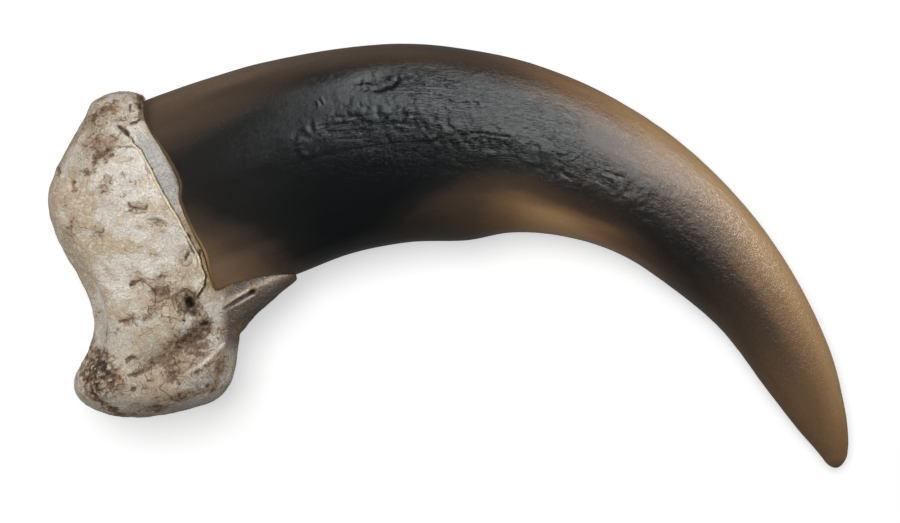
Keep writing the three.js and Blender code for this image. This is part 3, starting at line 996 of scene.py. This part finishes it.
def base_point(share, turn):
    """A point of the base: one level slice for each share."""
    y, start, end = base_y(share), base_from(share), base_to(share)
    c, s = boxy(np.cos(turn), BASE_SQUARENESS), boxy(np.sin(turn), BASE_SQUARENESS)
    tall = np.clip((y - JOINT_BOTTOM) / (JOINT_TOP - JOINT_BOTTOM), 0, 1)
    off_keel = np.exp(-(((np.pi - np.abs(turn) - JOINT_APART) / JOINT_SPREAD) ** 2))
    x = (start + end) / 2 + c * (end - start) / 2 + JOINT_DEEP * off_keel * np.sin(np.pi * tall)
    rise = flank_rise(x, y, s < 0) * np.abs(s)
    return np.stack([x, y, s * base_half(share) + np.sign(s) * rise], -1)


def shelf_point(share, turn):
    """A point of the shelf, whose sections run from its upper edge to its lower one."""
    c, s = boxy(np.cos(turn), SHELF_SQUARENESS), boxy(np.sin(turn), SHELF_SQUARENESS)
    back, sole = (
        np.stack([smoothly([p[i] for p in edge])(share) for i in range(2)], -1)
        for edge in (SHELF_BACK, SHELF_SOLE)
    )
    flat = back + (sole - back) * ((1 - c) / 2)[..., None]
    return np.concatenate([flat, (s * smoothly(SHELF_HALF)(share))[..., None]], -1)


print("a point of the keel, mm:", base_point(np.array([0.8]), np.array([math.pi])).round(1))

# %% Drums for the base, the shelf, the core and the horn's outside
OVERLAP = 0.12  # the bone reaches this far into the horn, so that no slit shows at the rim
CORE_GAP = 0.3
CORE_ENDS = HOLLOW_ENDS - 0.02


def solid(name, around, rings, surface):
    """A closed drum moved onto a surface."""
    piece = drum(name, around, rings, capped=True)
    raw = corners(piece)
    move_to(piece, surface(np.clip(raw[:, 2], 0, 1), np.arctan2(raw[:, 1], raw[:, 0])))
    bm = bmesh.new()
    bm.from_mesh(piece.data)
    bmesh.ops.triangulate(bm, faces=[f for f in bm.faces if len(f.verts) > 4])
    bmesh.ops.recalc_face_normals(bm, faces=bm.faces)
    bm.to_mesh(piece.data)
    bm.free()
    return piece


def core_point(share, turn):
    """A point of the core."""
    return hollow_point(share, turn, CORE_ENDS, CORE_GAP)


def horn_envelope(share, turn):
    """The horn's outside, moved in by the overlap."""
    return horn_point(share, turn, OVERLAP, OVERLAP, OVERLAP)


bone = solid("claw_bone", 220, 200, base_point)
shelf = solid("shelf", 120, 60, shelf_point)
core = solid("core", 64, 40, core_point)
envelope = solid("envelope", 128, 160, horn_envelope)
print("drums:", [piece.name for piece in (bone, shelf, core, envelope)])

# %% A block past the rim
BLOCK = 90.0
SOLE_CORNER = RIM[-1][1] + OVERLAP

bm = bmesh.new()
outline = [(x + OVERLAP, y) for x, y in zip(rim_x[::5], rim_y[::5])]
outline += [(RIM[-1][0] + OVERLAP, SOLE_CORNER), (BLOCK, SOLE_CORNER), (BLOCK, BLOCK)]
outline.append((outline[0][0], BLOCK))
ring_verts = [bm.verts.new((x, y, -BLOCK)) for x, y in outline]
side_face = bmesh.ops.contextual_create(bm, geom=ring_verts)["faces"]
pushed = bmesh.ops.extrude_face_region(bm, geom=side_face)["geom"]
pushed = [g for g in pushed if isinstance(g, bmesh.types.BMVert)]
bmesh.ops.translate(bm, verts=pushed, vec=(0, 0, 2 * BLOCK))
bmesh.ops.recalc_face_normals(bm, faces=bm.faces)
bmesh.ops.triangulate(bm, faces=bm.faces)
block = placed_mesh("block", bm)
print("the block's outline has", len(outline), "corners")

# %% Cut, join and remesh
VOXEL = 0.185


def settle(piece):
    """Works a piece's modifiers into its mesh."""
    ready = piece.evaluated_get(bpy.context.evaluated_depsgraph_get())
    mesh = bpy.data.meshes.new_from_object(ready)
    piece.modifiers.clear()
    piece.data = mesh


def combine(piece, other, operation):
    """Cuts another solid from a piece or joins it on."""
    cut = piece.modifiers.new(operation.lower(), "BOOLEAN")
    cut.operation = operation
    cut.object = other
    cut.solver = "MANIFOLD"
    settle(piece)


def discard(*pieces):
    """Removes workshop solids."""
    for piece in pieces:
        bpy.data.objects.remove(piece)


combine(bone, block, "DIFFERENCE")
combine(shelf, envelope, "DIFFERENCE")
combine(bone, shelf, "UNION")
remesh = bone.modifiers.new("even quads", "REMESH")
remesh.mode = "VOXEL"
remesh.voxel_size = VOXEL
relax = bone.modifiers.new("relax", "SMOOTH")
relax.factor = 0.5
relax.iterations = 3
settle(bone)
print("bone vertices after the remesh:", len(bone.data.vertices))

# %% [markdown]
# ## Relief of the bone
# The side is smooth, with a fine crack where the hood over the horn has lifted, two shallow pits, a
# small hole for a blood vessel and a valley above the heel. The heel's corner is open and spongy.
# The same kinds of marks are laid out on the sheet as on the horn.

# %% The bone's marks
CRACK = [
    (-36.2, 14.2), (-35.8, 13.9), (-35.1, 13.1), (-34.8, 12.4), (-34.4, 12.0), (-34.0, 11.7),
    (-33.3, 10.4), (-32.8, 9.5), (-32.3, 8.4), (-31.8, 7.4), (-31.0, 6.0), (-29.8, 4.1),
    (-29.3, 3.0), (-28.8, 2.2), (-28.4, 1.4), (-27.9, 0.6), (-27.5, -0.2), (-27.3, -1.2),
    (-26.9, -2.1), (-27.1, -3.2), (-27.8, -4.4),
]
BONE_MARKS = [  # kind, width, depth or height, points
    ("step", 0.14, 0.2, *CRACK[3:]),
    # the crack's open parts
    ("groove", 0.17, 0.24, (-28.8, 2.2), (-28.6, 1.4), (-28.4, 0.7), (-28.1, 0.4)),
    ("groove", 0.17, 0.24, (-27.5, 0.6), (-27.6, -0.1), (-27.4, -1.1), (-26.9, -2.1), (-27.1, -3.2)),
    ("groove", 0.24, 0.34, (-27.1, -3.2), (-27.8, -4.4)),
    ("groove", 0.16, 0.2, (-28.7, 0.4), (-29.1, -0.4)),
    ("groove", 0.2, 0.3, (-36.3, 14.2), (-35.5, 13.5)),
    ("groove", 0.14, 0.16, (-35.5, 13.5), (-34.9, 12.6)),
    ("groove", 0.15, 0.24, (-35.1, 14.5), (-34.5, 14.7), (-34.2, 15.0)),
    ("groove", 0.14, 0.2, (-35.2, 16.7), (-35.1, 15.9)),
    ("groove", 0.12, 0.12, (-35.6, 12.1), (-34.8, 12.0), (-34.0, 11.6)),
    # its raised edge, with bright blobs
    ("ridge", 0.12, 0.08, (-34.9, 14.2), (-34.5, 13.6), (-34.55, 13.0), (-34.3, 12.4)),
    ("ridge", 0.16, 0.14, (-34.65, 13.3), (-34.6, 12.7)),
    ("ridge", 0.2, 0.1, (-33.9, 10.8), (-33.5, 9.9), (-33.0, 8.9), (-32.1, 7.1)),
    ("ridge", 0.2, 0.14, (-29.3, 2.8), (-29.1, 2.5)),
    ("ridge", 0.2, 0.14, (-28.95, 1.7), (-28.9, 1.2)),
    ("ridge", 0.2, 0.14, (-28.1, -0.5), (-28.0, -0.9)),
    # the two shallow pits' edges and a small loop
    ("groove", 0.14, 0.16, (-35.4, 5.8), (-35.1, 5.4), (-34.4, 5.2), (-33.5, 5.2), (-33.3, 5.5)),
    ("groove", 0.12, 0.1, (-35.2, 5.0), (-34.3, 4.6), (-33.5, 4.9)),
    ("groove", 0.12, 0.1, (-33.3, 4.0), (-32.4, 4.1), (-31.4, 3.6), (-31.2, 3.2)),
    ("groove", 0.12, 0.14, (-33.5, 9.9), (-33.3, 9.2), (-32.9, 9.1), (-32.8, 9.6)),
    # the valley above the heel, its far edge, and lines in the broken places
    ("groove", 0.9, 0.14, (-25.1, -7.6), (-28.5, -9.35), (-33.0, -11.8)),
    ("ridge", 0.35, 0.2, (-29.7, -13.4), (-27.7, -12.2), (-26.2, -11.0), (-24.9, -9.7)),
    ("groove", 0.16, 0.16, (-35.3, -13.2), (-34.3, -13.0), (-33.3, -12.6), (-32.6, -11.9)),
    ("groove", 0.16, 0.16, (-35.7, -11.4), (-35.0, -11.1), (-34.4, -11.3)),
    ("groove", 0.13, 0.12, (-32.9, -4.9), (-32.0, -5.1), (-30.9, -4.6), (-31.0, -3.4)),
    ("groove", 0.13, 0.12, (-35.2, -3.3), (-34.0, -2.6), (-32.9, -3.4), (-32.4, -4.3)),
    ("groove", 0.13, 0.12, (-36.4, -7.2), (-35.3, -7.1), (-34.8, -6.4)),
    ("groove", 0.13, 0.12, (-34.8, -7.3), (-34.3, -7.8)),
    ("groove", 0.14, 0.12, (-29.6, -6.6), (-30.2, -4.4), (-29.0, -3.6), (-27.8, -4.6)),
    ("groove", 0.16, 0.12, (-27.9, -12.9), (-27.3, -11.6)),
    ("ridge", 0.16, 0.1, (-38.9, -8.2), (-38.6, -9.4), (-38.2, -10.0)),
    # the slit on the shelf and its raised edge
    ("groove", 0.2, 0.28, (-24.9, -5.75), (-23.4, -4.9), (-21.6, -3.85)),
    ("ridge", 0.13, 0.14, (-25.1, -5.7), (-23.6, -4.6), (-22.2, -3.8)),
    ("ridge", 0.12, 0.1, (-24.9, -6.1), (-23.1, -5.2), (-21.6, -4.3)),
]
print("lines on the bone:", len(BONE_MARKS))

# %% The bone's pits, and where it is stained
BONE_PITS = [  # an oval, depth, how steep the sides are
    (-34.4, 5.3, 1.15, 0.55, -6, 0.28, 4),
    (-32.2, 3.5, 1.15, 0.5, -10, 0.2, 4),
    (-28.6, -5.2, 0.42, 0.6, 15, 0.9, 4),
    (-28.2, -6.3, 0.45, 0.4, 0, 0.3, 4),
    (-29.3, -7.1, 0.2, 0.17, 0, 0.45, 4),
    (-26.9, -7.6, 0.3, 0.2, 20, 0.3, 4),
    (-21.8, -4.0, 0.42, 0.26, 35, 0.4, 4),
    (-36.3, 12.0, 0.17, 0.17, 0, 0.2, 4),
    (-35.1, -3.2, 0.2, 0.15, 0, 0.2, 4),
    (-34.8, -14.6, 0.4, 0.2, 5, 0.2, 4),
    (-33.5, -14.6, 0.2, 0.2, 0, 0.15, 4),
    (-38.1, 16.1, 0.9, 0.22, 32, 0.14, 4),
    (-37.4, 16.0, 0.9, 0.2, 32, 0.1, 4),
    (-34.1, 16.7, 0.22, 0.6, 5, 0.3, 4),
    (-31.9, -3.9, 0.9, 0.7, -10, 0.12, 4),
]
GRIME = [  # an oval and a strength
    # faint and wide
    (-36.8, 15.4, 4.6, 2.6, 35, 0.3), (-39.5, 12.5, 2.6, 2.2, 50, 0.22),
    (-34.8, 12.6, 1.8, 2.2, 0, 0.2), (-27.6, -8.4, 3.4, 3.0, 0, 0.3),
    (-30.6, -13.6, 5.0, 2.6, 10, 0.28), (-38.0, -11.5, 2.2, 2.4, 0, 0.3),
    (-31.0, -2.0, 2.6, 2.6, 0, 0.2),
    # along the top and the left edge
    (-37.8, 16.2, 1.0, 0.4, 32, 0.95), (-38.1, 17.5, 1.5, 0.3, 15, 0.5),
    (-39.4, 15.1, 1.0, 0.4, 52, 0.75), (-34.4, 17.6, 0.9, 0.3, -10, 0.5),
    (-34.0, 15.9, 0.4, 0.9, 0, 0.5), (-34.0, 16.7, 0.3, 0.9, 5, 1.1),
    (-42.5, 12.8, 0.6, 1.3, 20, 0.3), (-43.0, 9.5, 0.3, 0.6, 25, 0.8),
    # the patch behind the crack
    (-38.5, 12.0, 1.4, 0.9, 30, 0.55), (-38.0, 11.1, 0.7, 0.7, 0, 0.8),
    (-39.2, 10.3, 0.3, 0.7, 0, 0.9), (-37.2, 11.8, 0.4, 0.7, 0, 0.6),
    (-40.1, 9.2, 1.2, 0.3, 5, 0.75), (-41.4, 7.9, 0.3, 0.8, -10, 0.95),
    (-37.6, 8.5, 0.4, 0.4, 0, 0.65), (-35.9, 8.7, 0.4, 0.9, 20, 0.5),
    (-36.0, 6.7, 0.7, 0.2, -10, 0.75), (-39.5, 6.8, 0.6, 0.4, 0, 0.45),
    (-38.5, 7.5, 0.9, 0.7, 0, 0.4), (-39.0, 2.6, 1.2, 0.9, 0, 0.5),
    (-41.8, 3.4, 0.9, 1.5, 0, 0.35), (-42.2, 5.6, 0.8, 1.1, 0, 0.3),
    (-33.2, 9.4, 0.3, 0.3, 0, 0.6), (-32.1, 3.5, 1.3, 0.6, -5, 0.35),
    (-34.4, 5.2, 1.0, 0.7, -8, 0.35),
    # around the hole for the vessel
    (-35.1, -3.2, 0.3, 0.3, 0, 0.8), (-34.3, -2.3, 0.8, 0.4, 0, 0.45),
    (-33.0, -2.5, 1.8, 0.3, 15, 0.4), (-31.9, -4.0, 1.2, 0.9, -10, 0.75),
    (-32.5, -5.9, 0.6, 0.8, 0, 0.6), (-35.1, -7.0, 1.3, 0.4, 10, 0.6),
    (-33.4, -6.8, 0.6, 0.9, 0, 0.5), (-29.1, -4.8, 1.5, 1.3, 0, 0.7),
    (-28.6, -5.2, 0.7, 0.9, 10, 1.1), (-27.5, -6.2, 0.9, 0.7, -30, 0.7),
    # the valley
    (-26.9, -7.5, 0.8, 0.6, 20, 0.95), (-27.9, -8.7, 1.3, 1.1, 40, 0.9),
    (-29.7, -9.8, 1.1, 1.0, 40, 0.85), (-31.4, -11.2, 1.3, 0.8, 25, 1.0),
    (-30.4, -13.0, 0.9, 1.0, 0, 0.9), (-33.0, -11.7, 0.9, 0.4, 25, 0.9),
    (-34.3, -12.9, 1.1, 0.3, 20, 0.9), (-35.0, -11.3, 0.7, 0.3, 20, 0.9),
    (-27.7, -10.6, 1.6, 1.0, 30, 0.55), (-28.2, -12.7, 1.3, 0.4, 18, 0.65),
    (-25.5, -12.1, 0.8, 1.4, -8, 0.7), (-25.9, -14.3, 1.1, 0.6, 20, 0.6),
    # the heel and its lower edge
    (-34.8, -14.6, 0.4, 0.2, 5, 0.95), (-33.5, -14.6, 0.3, 0.2, 0, 0.7),
    (-32.3, -14.7, 0.2, 0.2, 0, 0.7), (-39.4, -13.0, 1.1, 1.6, 0, 1.25),
    (-38.1, -11.7, 1.0, 0.9, 0, 1.15), (-37.3, -13.4, 0.9, 0.7, -25, 0.95),
    (-38.9, -15.0, 0.9, 0.9, 0, 1.0), (-36.5, -14.2, 1.1, 0.4, -5, 0.7),
    (-38.1, -16.3, 1.3, 0.4, -35, 0.85), (-36.5, -17.2, 1.1, 0.3, -20, 0.8),
    (-32.1, -16.7, 1.0, 0.3, 5, 0.85), (-29.1, -15.3, 2.1, 0.4, 17, 0.75),
    (-34.1, -17.1, 1.5, 0.3, 0, 0.55), (-38.8, -10.4, 0.6, 0.3, 0, 0.9),
    (-36.3, -8.1, 3.3, 0.9, 10, 0.25), (-23.1, -8.1, 1.5, 1.1, 0, 0.5),
]
SHADES = [  # an oval and a strength: where the ivory is darkened with painted shade
    (-39.8, 10.2, 2.6, 2.0, 30, 0.9), (-42.4, 10.4, 1.2, 1.6, 0, 0.5),
    (-38.0, 5.6, 1.8, 1.4, 0, 0.5), (-35.6, 7.8, 1.6, 1.6, 0, 0.5),
    (-31.4, 3.2, 1.8, 1.6, 0, 0.35), (-28.4, 0.9, 1.5, 2.2, 0, 0.6),
    (-27.3, -4.9, 1.3, 1.2, 0, 0.9), (-33.8, -10.6, 3.2, 2.4, 0, 0.5),
    (-27.0, -9.9, 1.3, 1.2, 0, 0.6),
]
HEEL_SPONGE = (-38.7, -13.2, 2.3, 2.2, 0)


# the amber line round the horn's corner and along the shelf, partly a painted highlight along the
# horn's edge
GOLD_EDGE_AND_GLINT = [(-26.3, -3.5), (-25.7, -4.6), (-24.6, -4.9), (-22.3, -3.8), (-20.0, -2.7), (-17.6, -1.7)]
print("pits and patches on the bone:", len(BONE_PITS) + len(GRIME) + len(SHADES))

# %% Lift the bone's surface
BAND = 0.9  # half the width of the smooth band along the horn's rim
BAND_DROP = 0.08
SWELLS = 0.12
DIMPLES = 0.05
SPONGE = 0.25
PITTED = 0.07


def bone_places():
    """Where the bone's vertices are, how they face, how they are seen, and which are above."""
    shape = corners(bone)
    return shape, outward(bone), *as_seen(shape), smooth_step(shape[:, 2], -0.5, 1.5)


def from_horn(shape):
    """How far places are from the horn's rim, seen from the side."""
    return near_line(shape[:, 0], shape[:, 1], list(zip(rim_x[::10], rim_y[::10])))[0]


shape, facing, u, v, is_above = bone_places()
beside_rim = 1 - smooth_step(facing[:, 0], 0.35, 0.8)
low_band = np.exp(-((from_horn(shape) / BAND) ** 2)) * beside_rim * smooth_step(shape[:, 1], -5.5, -3.0)
sponge = in_oval(u, v, HEEL_SPONGE) * is_above
dirty = np.clip(patches_at(GRIME, u, v), 0, 1) * is_above
pores = rough_field(shape, 0.55, 3, seed=13)

lift = is_above * marks_lift(u, v, BONE_MARKS, pits=BONE_PITS)
lift += SWELLS * rough_field(shape, 3.6, 3, seed=11)
lift += DIMPLES * rough_field(shape, 1.1, 4, seed=12) * (1 - 0.8 * low_band)
lift += (sponge * SPONGE + dirty * PITTED) * pores
lift -= BAND_DROP * low_band
move_to(bone, shape + facing * lift[:, None])
print("bone lifted between, mm:", round(float(lift.min()), 2), round(float(lift.max()), 2))

# %% Add the core
combine(bone, core, "UNION")
discard(shelf, core, envelope, block)
print("bone vertices with the core:", len(bone.data.vertices))

# %% [markdown]
# ## What the bone remembers
# Grime has settled in the hollows and in the spongy heel, and the underside is darkened with grime and
# painted shade. Grooves, pits and the heel's pores are darker the deeper they are: painted shade, with
# the dirt in them. Ridges are worn pale and carry painted glints, the strip beside the horn is grey and
# turns amber lower down, with a painted highlight along the horn's edge, and the shelf is grey-brown.
# The heel and the top are darkened with painted shade, and the left side is warmer. These are amounts
# for each vertex, and the finish breaks them up with noise.

# %% Grime, with painted shade underneath
UNDER_GRIME_AND_SHADE = 0.42

shape, facing, u, v, is_above = bone_places()
stray = rough_field(shape, 0.8, 3, seed=22), rough_field(shape, 0.8, 3, seed=23)
edge_u, edge_v = u + 0.12 * stray[0], v + 0.12 * stray[1]
loose_u, loose_v = u + 0.4 * stray[0], v + 0.4 * stray[1]
patches = patches_at(GRIME, loose_u, loose_v)
# the underside and lower edges are darkened: dirt and painted shade
under_grime_and_shade = UNDER_GRIME_AND_SHADE + 0.7 * rough_field(shape, 4.0, 3, seed=21)
grime = is_above * patches + (1 - is_above) * np.clip(under_grime_and_shade, 0, 1.2)
print("mean grime:", round(float(grime.mean()), 2))

# %% Painted shade in the hollows, and worn ridges with painted glints
DARK_AT = 0.2  # a groove this deep is quite dark
PIT_DARK_AT = 0.35
FINE = 0.5  # wider grooves are too open to be dark

# narrow grooves and deep pits are darker the deeper they are: painted shade, with the dirt in them; ridges
# are worn pale and carry painted glints
dark = np.zeros(u.shape)
worn = np.zeros(u.shape)
for kind, width, deep, *points in BONE_MARKS:
    if kind == "groove" and width < FINE:
        distance, _ = near_line(edge_u, edge_v, points)
        dark += deep / DARK_AT * np.exp(-((distance / width) ** 2))
    if kind == "ridge":
        distance, _ = near_line(u, v, points)
        worn += min(deep / DARK_AT, 0.7) * np.exp(-((distance / min(width, 0.2)) ** 2))
shallow_pits, deep_pits = BONE_PITS[:2], BONE_PITS[2:]
for *oval, deep, steep in deep_pits:
    dark += min(deep / PIT_DARK_AT, 1.5) * in_oval(edge_u, edge_v, oval, steep)
sponge = in_oval(u, v, HEEL_SPONGE)
pores = rough_field(shape, 0.55, 3, seed=13)
# in the heel's sponge, low pores get painted shade and high points pale wear with painted glints
dark += 1.3 * sponge * smooth_step(-pores, 0.05, 0.3)
worn += 0.9 * sponge * smooth_step(pores, 0.2, 0.4)
remember(bone, "dark", np.clip(dark * is_above, 0, 1))
remember(bone, "worn", np.clip(worn * is_above, 0, 1))
print("mean dark and worn:", round(float(dark.mean()), 3), round(float(worn.mean()), 3))

# %% The crack, the band beside the horn, amber and shade
crack_distance, crack_side = near_line(u, v, CRACK)
past_crack = smooth_step(crack_side * crack_distance, 0.0, 0.2)
crack_ends = smooth_step(v, -4.6, -4.0) * smooth_step(-v, -13.2, -12.6) * is_above
in_band = past_crack * smooth_step(v, -4.2, -3.2) * is_above * (1 - smooth_step(v, 12.6, 14.0))
in_band *= smooth_step(-u, 23.5, 24.5)
golden = 1 - smooth_step(v, 3.6, 6.6)
rim_gold = 0.45 * (1 - smooth_step(from_horn(shape), 0.15, 0.4)) * smooth_step(shape[:, 1], -5.0, -4.0)
# a thin amber line round the horn's corner and along the shelf, partly a painted highlight of the horn's
# edge
corner_distance, _ = near_line(u, v, GOLD_EDGE_AND_GLINT)
corner_gold_and_glint = 0.6 * np.exp(-((corner_distance / 0.24) ** 2)) * is_above
pits_gold = 0.65 * sum(in_oval(u, v, oval) for *oval, _, _ in shallow_pits) * is_above
amber = np.maximum.reduce([in_band * golden, rim_gold, corner_gold_and_glint, pits_gold])
# painted shade: darker towards the heel and the top, and in the shade patches
dull = np.maximum(smooth_step(-v, 4.0, 10.0), 0.7 * smooth_step(v, 10.5, 15.5))
shelf_share = smooth_step(shape[:, 0], -25.6, -24.0) * smooth_step(shape[:, 1], -11.5, -8.5)
remember(bone, "grime", np.clip(grime * (1 - in_band), 0, 1.5))
remember(bone, "from_crack", np.clip(crack_side * crack_distance, -2, 2))
remember(bone, "crack", crack_ends)
remember(bone, "dull", dull + patches_at(SHADES, loose_u, loose_v) * is_above)
remember(bone, "warmth", smooth_step(-u, 37.5, 42.0) * smooth_step(v, 2, 8) * is_above)
remember(bone, "amber", np.clip(amber, 0, 1))
remember(bone, "band", np.clip(in_band * (1 - golden), 0, 1))
remember(bone, "shelf", np.clip(shelf_share * (1 - corner_gold_and_glint), 0, 1))
print("mean amber:", round(float(amber.mean()), 3))

# %% [markdown]
# ## The finish of bone
# Old bone is ivory grey with warmer patches, polished by handling, and stained brown where earth and
# tissue stayed in its pores. We lay the stains over each other as they came: a thin brown wash first,
# which also paints shade on the underside, then fine veins, then crisp crumbs, and last the nearly
# black dirt, with painted shade in the holes. Painted shade also darkens the heel and the top, and
# painted highlights brighten the worn ridges, the crack's lip and some pale flecks.

# %% The colours of bone
IVORY = linear(179, 174, 165)
# painted shade
PAINTED_SHADE_TONE = linear(116, 105, 88)
BEIGE = linear(157, 142, 122)
# pale chalk, which also paints glints on ridges and flecks
CHALK_AND_GLINT = linear(208, 202, 190)
# the crack lip's painted highlight
CRACK_LIP_HIGHLIGHT = linear(214, 194, 158)
LILAC = linear(136, 132, 128)
# a brown wash, which also paints the shade underneath
WASH_AND_UNDER_SHADE = linear(117, 95, 73)
# a brown stain, which also paints shade in the hollows
STAIN_AND_SHADE = linear(83, 61, 44)
# near-black dirt, which also paints shade in the deepest holes
DIRT_AND_SHADE = linear(40, 32, 28)
# amber, which also paints a highlight along the horn's edge
AMBER_AND_GLINT = linear(132, 107, 75)
SHELF_BROWN = linear(66, 55, 47)
print("ivory, to a shader:", [round(n, 2) for n in IVORY])

# %% The finish of bone
def bone_finish():
    """Polished ivory bone with its stains."""
    skin = Finish("bone", IOR=1.55)
    place = skin.add("TexCoord", {}, {}, "Object")
    where = skin.stretched(place, (1000, 1000, 1000))
    cloud = skin.noise(where, 0.14, 4)
    blotch = skin.noise(where, 0.55, 5, 0.6)
    crumbs = skin.noise(where, 1.6, 5, 0.65)
    grain = skin.noise(where, 5.0, 2, 0.5)
    worm = skin.noise(skin.stretched(where, (1, 1, 1), (7, 3, 1)), 1.0, 1, 0.4)
    thread = skin.noise(skin.stretched(where, (1, 1, 1), (2, 9, 4)), 1.7, 1, 0.4)
    grime = skin.kept("grime")
    band = skin.kept("band")
    clean = 1 - band

    # ivory, its warmer places, the places darkened with painted shade, pale flecks that are partly
    # painted glints, and the parts with a colour of their own
    warm = skin.rise(cloud * 0.55 + blotch * 0.45 + skin.kept("warmth") * 0.12, 0.42, 0.6)
    colour = skin.mix(warm, IVORY, BEIGE)
    # pale chalky flecks, partly painted glints
    flecks_and_glints = skin.rise(crumbs + grain * 0.5, 0.76, 0.9)
    colour = skin.mix(flecks_and_glints * 0.4, colour, CHALK_AND_GLINT)
    # painted shade where the ivory is darker
    colour = skin.mix(skin.kept("dull") * 0.4, colour, PAINTED_SHADE_TONE)
    colour = skin.mix(band * 0.9, colour, LILAC)
    colour = skin.mix(skin.kept("shelf") * 0.95, colour, SHELF_BROWN)
    # amber, with a painted highlight along the horn's edge
    colour = skin.mix(skin.kept("amber") * 0.9, colour, AMBER_AND_GLINT)

    # the thin wash, which also paints shade underneath, then veins, then crumbs, then dirt and painted
    # shade in the hollows
    uneven = (blotch - 0.5) * 1.4 + (crumbs - 0.5) * 0.7
    # the wash also paints the shade on the underside
    wash_and_under_shade = skin.rise(grime + uneven, 0.1, 0.75) * clean
    colour = skin.mix(wash_and_under_shade * 0.7, colour, WASH_AND_UNDER_SHADE)
    worms = skin.line(worm - 0.5, 0.015, 0.055)
    threads = skin.line(thread - 0.5, 0.02, 0.07)
    broken = skin.rise(crumbs * 0.5 + blotch * 0.5, 0.4, 0.56)
    lines = skin.larger(worms * broken, threads * (1 - broken))
    lined = 0.1 + skin.rise(grime + uneven, 0.05, 0.5) * 0.75
    colour = skin.mix(lines * lined * clean, colour, STAIN_AND_SHADE)
    crisp = skin.rise(grime * 0.6 + (crumbs - 0.5) * 2.2 + (grain - 0.5) * 0.4, 0.45, 0.6) * clean
    colour = skin.mix(crisp * 0.8, colour, STAIN_AND_SHADE)
    deep = skin.rise(grime * 0.5 + (crumbs - 0.5) * 2.0 + (grain - 0.5) * 0.6, 0.62, 0.76)
    dark = skin.kept("dark")
    # hollows darker by their depth: painted shade, with the dirt in them
    colour = skin.mix(skin.rise(dark, 0.12, 0.55) * 0.8, colour, STAIN_AND_SHADE)
    # near-black dirt in crumbs, and painted shade in the deepest holes
    colour = skin.mix(skin.larger(deep, skin.rise(dark, 0.6, 1.0)) * 0.9, colour, DIRT_AND_SHADE)

    # worn ridges with painted glints, the crack's lip painted as a highlight, and its dark split
    crack = skin.kept("crack")
    across = skin.kept("from_crack") + (crumbs - 0.5) * 0.25
    lip = skin.line(across + 0.15, 0.07, 0.17)
    split = skin.line(across - 0.06, 0.03, 0.09)
    beads = skin.rise(blotch + grain * 0.3, 0.5, 0.72)
    colour = skin.mix(skin.kept("worn") * (0.15 + beads * 0.6), colour, CHALK_AND_GLINT)
    colour = skin.mix(lip * crack * (0.4 + beads * 0.6), colour, CRACK_LIP_HIGHLIGHT)
    colour = skin.mix(split * crack * (0.85 - beads * 0.4), colour, DIRT_AND_SHADE)

    height = blotch * 0.25 + crumbs * 0.55 - crisp * 0.2 - lines * 0.16 + grain * 0.12
    height = height + (lip * 0.5 - split * 0.5) * crack
    normal = skin.bump(height, 0.0003)
    rough = 0.27 + wash_and_under_shade * 0.1 + (grain - 0.5) * 0.2
    skin.surface(Base_Color=colour, Roughness=rough, Normal=normal)
    return skin.material


bone.data.materials.clear()
bone.data.materials.append(bone_finish())
print("bone nodes:", len(bone.data.materials[0].node_tree.nodes))

# %% [markdown]
# ## Into the frame
# Each piece is tipped to the way the claw lies and turned into metres. Where it rests it is worn
# flat, so nothing dips below the floor. It then rides on the part's one body and replaces its packed
# solid.

# %% Lay the pieces down
for piece, node, slot in [(horn, "horn_sheath", "horn"), (bone, "toe_bone", "bone")]:
    places = laid_down(corners(piece))
    places[:, 2] = np.maximum(places[:, 2], 0)
    move_to(piece, places * MM)
    piece.data.polygons.foreach_set("use_smooth", [True] * len(piece.data.polygons))
    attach(piece, "root")
    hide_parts(node)
    triangles = sum(len(p.vertices) - 2 for p in piece.data.polygons)
    print(piece.name, "triangles:", triangles)

# %% Sizes, and done
sizes = {"cad": [list(corner) for corner in cad_box], "seen": [list(corner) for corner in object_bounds()]}
print("beyond the CAD box, mm:", [
    [round(1000 * (seen - cad), 2) for seen, cad in zip(*pair)]
    for pair in zip(sizes["seen"], sizes["cad"])
])
